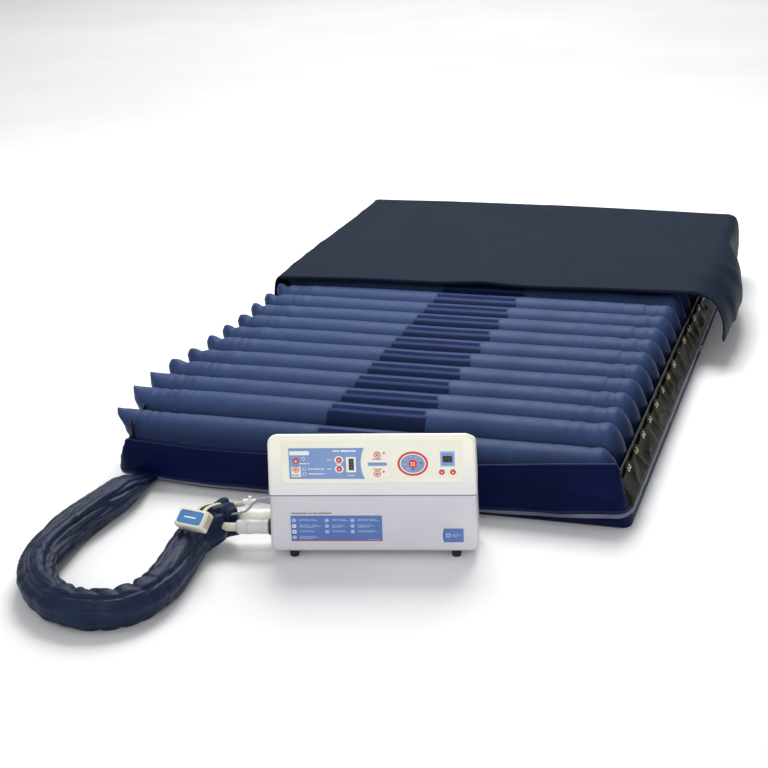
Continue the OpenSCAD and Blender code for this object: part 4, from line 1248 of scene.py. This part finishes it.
def recess_lining():
    """Tray under the carry recess: a floor and four walls whose tops follow the case's top."""
    (x, y0, y1, z0), wall = RECESS, 0.0018

    def roof(y):
        return CASE_HIGH - 0.0008 - TOP_FALL * (y - 0.010) / (CASE_D - 0.010)

    front, back = roof(y0 - wall), roof(y1)
    side = [(y0 - wall, z0 - wall), (y1 + wall, z0 - wall), (y1 + wall, roof(y1 + wall)),
            (y0 - wall, front)]
    parts = [prism([(-x - wall, z0 - wall), (x + wall, z0 - wall), (x + wall, z0), (-x - wall, z0)],
                   y0, y1),
             prism([(-x, z0), (x, z0), (x, front), (-x, front)], y0 - wall, y0),
             prism([(-x, z0), (x, z0), (x, back), (-x, back)], y1, y1 + wall)]
    for x0, x1 in ((-x - wall, -x), (x, x + wall)):
        v, f = prism(side, x0, x1)
        parts.append(([(b, a, c) for a, b, c in v], f))
    return parts


case_parts()

# ---------------------------------------------------------------- blower unit: printed panel

INK = 0.00012  # step between layers of print


def mm(points):
    """Points of two numbers in millimetres, in metres."""
    return [(x * MM, z * MM) for x, z in points]


def rect(x0, z0, x1, z1, r=0.6):
    return mm(rounded_rect(x0, z0, x1, z1, min(r, (x1 - x0) / 2.02, (z1 - z0) / 2.02), 4))


def oval(x, z, rx, rz=None, n=32):
    return mm(ellipse(x, z, rx, rz or rx, n))


def strokes(x0, x1, z, height, seed, blocks=4):
    """Plain bars in a row that stand for a line of print."""
    rng = np.random.default_rng(seed)
    cuts = np.concatenate([[0], np.sort(rng.uniform(0.1, 0.9, blocks - 1)), [1]])
    return [rect(x0 + (x1 - x0) * a, z - height / 2, x0 + (x1 - x0) * b - 0.9, z + height / 2, height / 3)
            for a, b in zip(cuts, cuts[1:]) if (b - a) * (x1 - x0) > 2]


def print_on(name, shapes, layer, material, face=PLATE_Y):
    """Flat printed shapes, each an outline or a pair (outer, inner), this many layers up."""
    y0, y1 = face - INK * layer, face + 0.0002
    meshes = [band(*s, y0, y1) if isinstance(s, tuple) else prism(s, y0, y1) for s in shapes]
    return finish_piece(join_meshes(name, meshes, UNIT, sharp=30), material)


KEYS = {"key_silence": (-156, 225), "key_power": (-157, 206), "key_firmer": (-66.5, 227),
        "key_softer": (-66.5, 207), "key_mode": (13, 238), "key_turn": (12, 196), "key_dial": (86, 218),
        "key_timer_down": (145.5, 199), "key_timer_up": (168.5, 199)}
LAMPS = [(-141, 230), (-139, 207), (-139.5, 196), (27, 242), (25.5, 200), (103, 220), (86.5, 205.7)]


def panel_print():
    arc = ellipse(24, 219, 45.5, 62, 25, 146, 68)  # right edge of the blue field
    field = mm([(-171, 185), (-171, 253.5)] + arc)
    print_on("print_overlay", [rect(-171.6, 184.4, 181, 254.1, 1.2)], 1, M_PRINT)
    print_on("print_field", [field], 2, M_BLUE)
    rim = [(x + 2.6, z) for x, z in arc]
    white = [mm(arc + rim[::-1]), rect(-166.5, 189.5, -147, 212.5, 1.5), oval(-66.5, 227, 9.4, 8.6),
             oval(-66.5, 207, 9.4, 8.6), rect(-71, 212, -62, 222, 1), rect(-52, 199.5, -31.5, 233.5, 1.5),
             rect(-169, 238, -128, 247, 1.0), *strokes(-79, -30, 247, 3.2, 2, 5),
             *strokes(-131, -97, 207, 2.0, 3), *strokes(-131, -95, 196, 2.0, 4),
             *strokes(-149, -127, 219, 1.8, 5, 2), *strokes(-91, -81, 227, 1.6, 6, 2),
             *strokes(-91, -81, 207, 1.6, 7, 2), *strokes(-50, -33, 192, 1.6, 8, 3)]
    print_on("print_white_marks", white, 3, M_INK_WHITE)
    lamp_holes = [(oval(x, z, 3.4), oval(x, z, 2.0)) for x, z in LAMPS[:3]]
    print_on("print_lamp_rims", lamp_holes, 4, M_INK_WHITE)
    grey = [*strokes(-165, -149, 193.5, 2.6, 9, 3), *strokes(3, 23, 228.5, 2.2, 10, 3),
            *strokes(4, 22, 206, 2.2, 11, 3)]
    print_on("print_grey_marks", grey, 4, M_GREY_INK)
    lozenge = mm([(-8, 213.5), (31, 213.5), (33, 217.3), (31, 221), (-8, 221), (-6, 217.3)])
    print_on("print_lozenge", [lozenge], 2, M_BLUE)
    red_rings = [(oval(x, z, 7.4), oval(x, z, 6.15)) for x, z in (KEYS["key_power"], KEYS["key_mode"],
                                                                 KEYS["key_turn"])]
    print_on("print_key_rings", red_rings, 4, M_RED)
    x, z = KEYS["key_dial"]
    print_on("print_dial_rim", [(oval(x, z, 27, 22.5, 64), oval(x, z, 24.6, 20.3, 64))], 3, M_INK_WHITE)
    print_on("print_dial_disc", [(oval(x, z, 24.6, 20.3, 64), oval(x, z, 10.2, 10.2, 64))], 3, M_BLUE)
    icons = []
    for a in (100, 140, 185, 230, 62, 25):
        cx, cz = x + 17.5 * math.cos(math.radians(a)), z + 15.5 * math.sin(math.radians(a))
        icons += [oval(cx - 2.2, cz + 0.6, 1.1, n=12), rect(cx - 1.2, cz - 1.0, cx + 3.2, cz + 0.2, 0.5),
                  rect(cx - 0.4, cz + 0.9, cx + 2.6, cz + 1.8, 0.4)]
    print_on("print_dial_icons", icons, 4, M_LIGHT_BLUE)
    print_on("print_timer_field", [rect(142.5, 211.5, 173, 245, 1.2)], 2, M_BLUE)
    print_on("print_timer_rim", [(rect(142.5, 211.5, 173, 245, 1.2), rect(145, 214, 170.5, 242.5, 1.0))], 3,
             M_LIGHT_BLUE)


def dial_ring():
    x, z = KEYS["key_dial"]
    shape = band(oval(x, z, 31.5, 27, 96), oval(x, z, 27, 22.5, 96), PLATE_Y - 0.0006, PLATE_Y)
    finish_piece(join_meshes("dial_ring_print", [shape], UNIT), M_RED, replaces=["dial_ring"])


def displays():
    """Two dark windows, one with a column of level bars and one with two plain digits' glow."""
    windows = [rect(-46.5, 204, -36, 230, 0.8), rect(148, 221, 167, 235, 0.8)]
    y = PLATE_Y - 0.0005
    meshes = [prism(w, y, PLATE_Y) for w in windows]
    finish_piece(join_meshes("display_windows", meshes, UNIT), M_SCREEN, replaces=["displays"])
    bars = [rect(-44.3, 206.5 + 4.6 * k, -38.2, 208.8 + 4.6 * k, 0.3) for k in range(5)]
    segments = [rect(151.5 + 7 * k, z, 156 + 7 * k, z + 1.1, 0.3)
                for k in range(2) for z in (224, 227.6, 231)]
    print_on("display_bars", bars + segments, 1, M_BAR, face=y)


def lamps():
    """Low domes on the panel, as rings of (radius, height) in millimetres."""
    rings = [(2.0, 0.0), (1.9, 0.35), (1.4, 0.62), (0.7, 0.78), (0.1, 0.82)]
    meshes, sides = [], 20
    for x, z in LAMPS:
        verts = [((x + r * math.cos(t)) * MM, PLATE_Y - h * MM, (z + r * math.sin(t)) * MM)
                 for r, h in rings for t in turns(sides)]
        meshes.append((verts, skin_faces(len(rings), sides, both=False)))
    finish_piece(join_meshes("lamp_domes", meshes, UNIT, sharp=None), M_LAMP,
                 replaces=["indicator_lamps"])


def key_caps():
    """Shallow domed keys with a plain printed mark, each on its own sprung body."""
    for name, (x, z) in KEYS.items():
        r = 9.5 if name == "key_dial" else 6.0
        profile = [(r - 0.15, -4.8), (r - 0.05, -0.2), (r - 0.05, 1.15), (r - 0.35, 1.55), (r * 0.8, 1.72),
                   (r * 0.5, 1.68), (r * 0.2, 1.62), (0.1, 1.6)]
        place = UNIT @ Matrix.Translation((x * MM, PLATE_Y, z * MM)) @ Matrix.Rotation(math.pi / 2, 4, "X")
        pale = name in ("key_power", "key_mode", "key_turn")
        cap = lathe(f"{name}_cap", mm(profile), place, 40)
        finish_piece(cap, M_KEY_PALE if pale else M_KEY, body=name, replaces=[name])
        marks = []
        if name == "key_dial":
            for a in (45, 135, 225, 315):
                cx, cz = 3.6 * math.cos(math.radians(a)), 3.6 * math.sin(math.radians(a))
                marks.append(ellipse(cx, cz, 1.9, 1.5, 16))
        elif name in ("key_firmer", "key_timer_up"):
            marks.append([(-2.2, -1.4), (2.2, -1.4), (0, 2.4)])
        elif name in ("key_softer", "key_timer_down"):
            marks.append([(2.2, 1.4), (-2.2, 1.4), (0, -2.4)])
        else:
            marks.append(ellipse(0, 0, 2.2, 2.2, 20))
        face = -(1.70 if name != "key_dial" else 1.74) * MM
        flat = [prism(mm(m), face - 0.0001, face + 0.0003) for m in marks]
        place = UNIT @ Matrix.Translation((x * MM, PLATE_Y, z * MM))
        finish_piece(join_meshes(f"{name}_mark", flat, place), M_RED if pale else M_ICON, body=name)


def front_labels():
    """Reference label with plain marks and lines for print, and a badge with a plain disc."""
    face = 0.0015
    y = face - 0.0008
    arc = ellipse(152, 55.5, 9.5, 22, 9, 225, -90)  # left edge of the badge
    meshes = [prism(rect(-174, 43, 18, 101, 0.8), y, face),
              prism(mm([(148, 40)] + arc + [(148, 71), (188, 71), (188, 40)]), y, face)]
    finish_piece(join_meshes("label_plates", meshes, UNIT, sharp=30), M_LABEL, replaces=["front_labels"])
    marks, seed = [], 20
    for x, lengths in ((-156, (40, 46, 34, 40)), (-87, (34, 29, 31)), (-33, (46, 35, 41))):
        for row, length in enumerate(lengths):
            z = 90.5 - 13 * row
            marks.append(oval(x - 11, z, 4.6, 4.2, 24))
            for k, share in enumerate((0.85, 1.0, 0.7)[:3 if row % 2 else 2]):
                seed += 1
                marks += strokes(x, x + length * share, z + 2.2 - 2.6 * k, 1.3, seed, 5)
    marks += strokes(-12, 14, 46.8, 1.0, 77, 4)
    marks += [oval(156, 55.5, 5.2, 5.2, 24), *strokes(164, 184, 56.5, 1.8, 78, 3),
              *strokes(164, 178, 53, 1.2, 79, 3)]
    print_on("label_marks", marks, 1, M_LIGHT_BLUE, face=y)
    rows = [90.5 - 13 * row for row in (1, 2)]
    print_on("label_dots", [oval(-167, z, 4.7, 4.3, 24) for z in rows], 2, M_INK_WHITE,
             face=y)
    dots = [oval(-167, z, 2.0, 1.8, 16) for z in rows] + [oval(156, 55.5, 2.4, 2.4, 20)]
    print_on("label_dot_centres", dots, 3, M_LABEL, face=y)
    print_on("label_rule", [rect(-174, 43, 18, 44.6, 0.3)], 2, M_RED, face=y)
    rim = [(x - 1.2, z) for x, z in arc] + [(x + 1.2, z) for x, z in arc[::-1]]
    print_on("badge_arc", [mm(rim)], 2, M_INK_WHITE, face=y)
    print_on("label_heading", strokes(-172, -86, 106.5, 3.0, 90, 5), 1, M_GREY_INK,
             face=face)


panel_print()
dial_ring()
displays()
lamps()
key_caps()
front_labels()

# ---------------------------------------------------------------- blower unit: fittings


def on_side(y, z):
    """Axes of something that points out of the unit's left side at (y, z) millimetres."""
    return UNIT @ Matrix.Translation((0, y * MM, z * MM)) @ Matrix.Rotation(-math.pi / 2, 4, "Y")


def side_lathe(name, y, z, profile, material, replaces, sides=48):
    """Turned piece on the unit's left side; the profile is (radius, distance left) in mm."""
    obj = lathe(name, mm(profile), on_side(y, z), sides)
    return finish_piece(obj, material, replaces=replaces)


def couplers():
    ribs = [p for k in range(6) for p in ((15.5, 240.5 + 3.2 * k), (15.0, 241.2 + 3.2 * k),
                                          (15.0, 242.2 + 3.2 * k), (15.5, 242.9 + 3.2 * k))]
    profile = ([(12, 226), (14.2, 226), (15.2, 226.8), (15.5, 228), (15.5, 234), (14.9, 234.6), (14.9, 236),
                (15.5, 236.6)] + ribs + [(15.5, 262), (15.9, 262.5), (15.9, 274), (15.6, 276)]
               + [(15.6 - 6.5 * (1 - math.cos(a)), 290 + 6.5 * math.sin(a)) for a in
                  np.radians(np.linspace(0, 90, 8))] + [(6, 296.8), (0.4, 296.9)])
    for name, y, material in (("coupler_front", 36, M_COUPLER), ("coupler_rear", 90, M_PRINT)):
        side_lathe(f"{name}_body", y, 60, profile, material, [name])
    # Seam of the release tab on the front coupler: a thin curved line round its front.
    a = np.radians(np.linspace(-70, 70, 15))
    line = [(-0.2665 - 0.006 * math.cos(t * 1.28), 0.036 - 0.0158 * math.cos(t),
             0.060 + 0.0158 * math.sin(t)) for t in a]
    obj = tube("coupler_tab_seam", catmull(line, 0.002), 0.0004, 6, UNIT, upward=(1.0, 0.0, 0.0))
    finish_piece(obj, M_GREY_INK)


def ports():
    parts = []
    for y, z, out, r in ((36, 60, 226, 18), (90, 60, 226, 18), (44, 118, 218, 11), (80, 98, 219, 8)):
        profile = [(r - 4, 213), (r, 213), (r, out - 2.5), (r - 0.8, out - 0.8), (r - 2.2, out - 0.2),
                   (r * 0.6, out - 0.1)]
        parts.append(taken(lathe("port", mm(profile), on_side(y, z), 40)))
    finish_piece(join_meshes("port_collars", parts), M_DARK, replaces=["hose_ports"])


def plug_and_small_coupler():
    ribs = [p for k in range(5) for p in (
        (6.4 - 0.3 * k, 230 + 3.0 * k), (6.4 - 0.3 * k, 231.8 + 3.0 * k),
        (5.2 - 0.25 * k, 232.1 + 3.0 * k), (5.2 - 0.25 * k, 232.9 + 3.0 * k))]
    profile = ([(3, 218), (7.2, 218), (8, 218.8), (8, 228), (7.6, 229.2)] + ribs
               + [(3.9, 246), (3.4, 251), (2.7, 252), (0.3, 252)])
    side_lathe("sensor_plug_relief", 44, 118, profile, M_CABLE, ["sensor_plug"])
    body = [(2, 219), (4, 219), (4, 253), (5.4, 255), (6.3, 255.6), (6.5, 257), (6.5, 266), (5.9, 267),
            (5.9, 268.4), (6.5, 269.4), (6.5, 284), (5.6, 286.4), (3.6, 287), (0.3, 287)]
    side_lathe("small_coupler_body", 80, 98, body, M_WHITE, ["small_coupler"], 32)
    knob = [(3.2, 4), (3.2, 8.0), (4.0, 8.8), (4.0, 12.0), (3.4, 13.0), (0.3, 13.1)]
    place = UNIT @ Matrix.Translation((-0.271, 0.080, 0.098))
    finish_piece(lathe("small_coupler_knob", mm(knob), place, 28), M_WHITE)


def feet():
    profile = mm([(6.5, 0), (8.6, 0), (9.3, 0.6), (9.7, 3), (10, 9), (10, 16.5), (8, 17.4)])
    meshes = [taken(lathe("foot", profile, UNIT @ Matrix.Translation((x * MM, y * MM, 0)), 36))
              for x in (-172, 172) for y in (22, 108)]
    finish_piece(join_meshes("feet", meshes), M_RUBBER, replaces=["pump_feet"])


def rear_details():
    """Screws at the rear cover's corners and rows of vent louvres on it."""
    screws, louvres = [], []
    for x in (-196, 0, 196):
        for z in (38, 212):
            screws.append(prism(oval(x, z, 3.6, n=24), 0.1289, 0.1298))
            screws.append(prism(rect(x - 2.4, z - 0.45, x + 2.4, z + 0.45, 0.2), 0.1297, 0.1301))
            screws.append(prism(rect(x - 0.45, z - 2.4, x + 0.45, z + 2.4, 0.2), 0.1297, 0.1301))
    for column in (20, 78):
        for k in range(9):
            z = 52 + 9 * k
            v, f = prism([(129.0, z), (130.4, z + 1.2), (130.4, z + 2.6), (129.0, z + 5.4)],
                         column, column + 50)
            louvres.append(([(y * MM, x * MM, z_ * MM) for x, y, z_ in v], f))
    finish_piece(join_meshes("rear_screws", screws, UNIT), M_ZIP_METAL)
    finish_piece(join_meshes("rear_louvres", louvres, UNIT, sharp=20), M_REAR)


couplers()
ports()
plug_and_small_coupler()
feet()
rear_details()

# ---------------------------------------------------------------- CAD nodes that stay


def soften(node, width):
    """Rounds a kept CAD node's hard edges a little."""
    obj = NODES[node]
    flat = obj.modifiers.new("planes", "DECIMATE")
    flat.decimate_type, flat.angle_limit = "DISSOLVE", math.radians(2)
    m = obj.modifiers.new("edges", "BEVEL")
    m.width, m.segments, m.limit_method, m.angle_limit = width, 2, "ANGLE", math.radians(40)


KEPT = {"control_panel": M_PRINT, "air_manifold": M_TUBING, "zip_slider": M_ZIP_METAL,
        "zip_pull": M_ZIP_METAL, "rear_cover": M_REAR, "mains_inlet": M_INLET,
        "rocker_switch": M_INLET, "bed_hook_left": M_HOOK, "bed_hook_right": M_HOOK,
        "blower_housing": M_INNER, "blower_impeller": M_ROTOR, "valve_body": M_INNER,
        "valve_disc": M_ROTOR, "circuit_board": M_BOARD}
SOFTENED = {"rear_cover": 0.0005, "mains_inlet": 0.0004, "rocker_switch": 0.0004, "bed_hook_left": 0.0007,
            "bed_hook_right": 0.0007, "zip_slider": 0.0005, "zip_pull": 0.0003}
for kept_node, kept_material in KEPT.items():
    kept_mesh = NODES[kept_node].data
    kept_mesh.materials.clear()
    kept_mesh.materials.append(kept_material)
for soft_node, soft_width in SOFTENED.items():
    soften(soft_node, soft_width)

# ---------------------------------------------------------------- floor and light


def stage():
    """Pale floor, four softboxes and the studio's own faint light."""
    half = 30
    verts = [(-half, -half, 0), (half, -half, 0), (half, half, 0), (-half, half, 0)]
    floor = link("floor", mesh_from("floor", verts, [(0, 1, 2, 3)]))
    p = Paint("floor_pale", 0.8)
    p.colour(p.mix(p.ramp(p.noise(0.8), 0.3, 0.7), rgb(238, 238, 238), rgb(244, 244, 244)))
    floor.data.materials.append(p.material)
    world = bpy.data.worlds.new("studio")
    bpy.context.scene.world = world
    world.use_nodes = True
    background = world.node_tree.nodes["Background"]
    background.inputs["Color"].default_value = (0.95, 0.97, 1.0, 1)
    background.inputs["Strength"].default_value = 0.42
    middle, far = Vector((0, -0.2, 0.1)), Vector((-2.0, 7.5, 0))
    for at, aim, size, energy in (((-0.4, 1.3, 3.6), middle, 2.4, 165), ((1.2, -5.2, 2.2), middle, 2.2, 66),
                                  ((-2.6, -3.6, 2.6), middle, 2.0, 18), ((-2.0, 7.0, 5.0), far, 6.0, 260)):
        data = bpy.data.lights.new("softbox", "AREA")
        data.energy, data.size = energy, size
        lamp = bpy.data.objects.new("softbox", data)
        bpy.context.scene.collection.objects.link(lamp)
        lamp.location = at
        lamp.rotation_euler = (aim - Vector(at)).to_track_quat("-Z", "Y").to_euler()
    bpy.context.scene.view_settings.view_transform = "Standard"


stage()
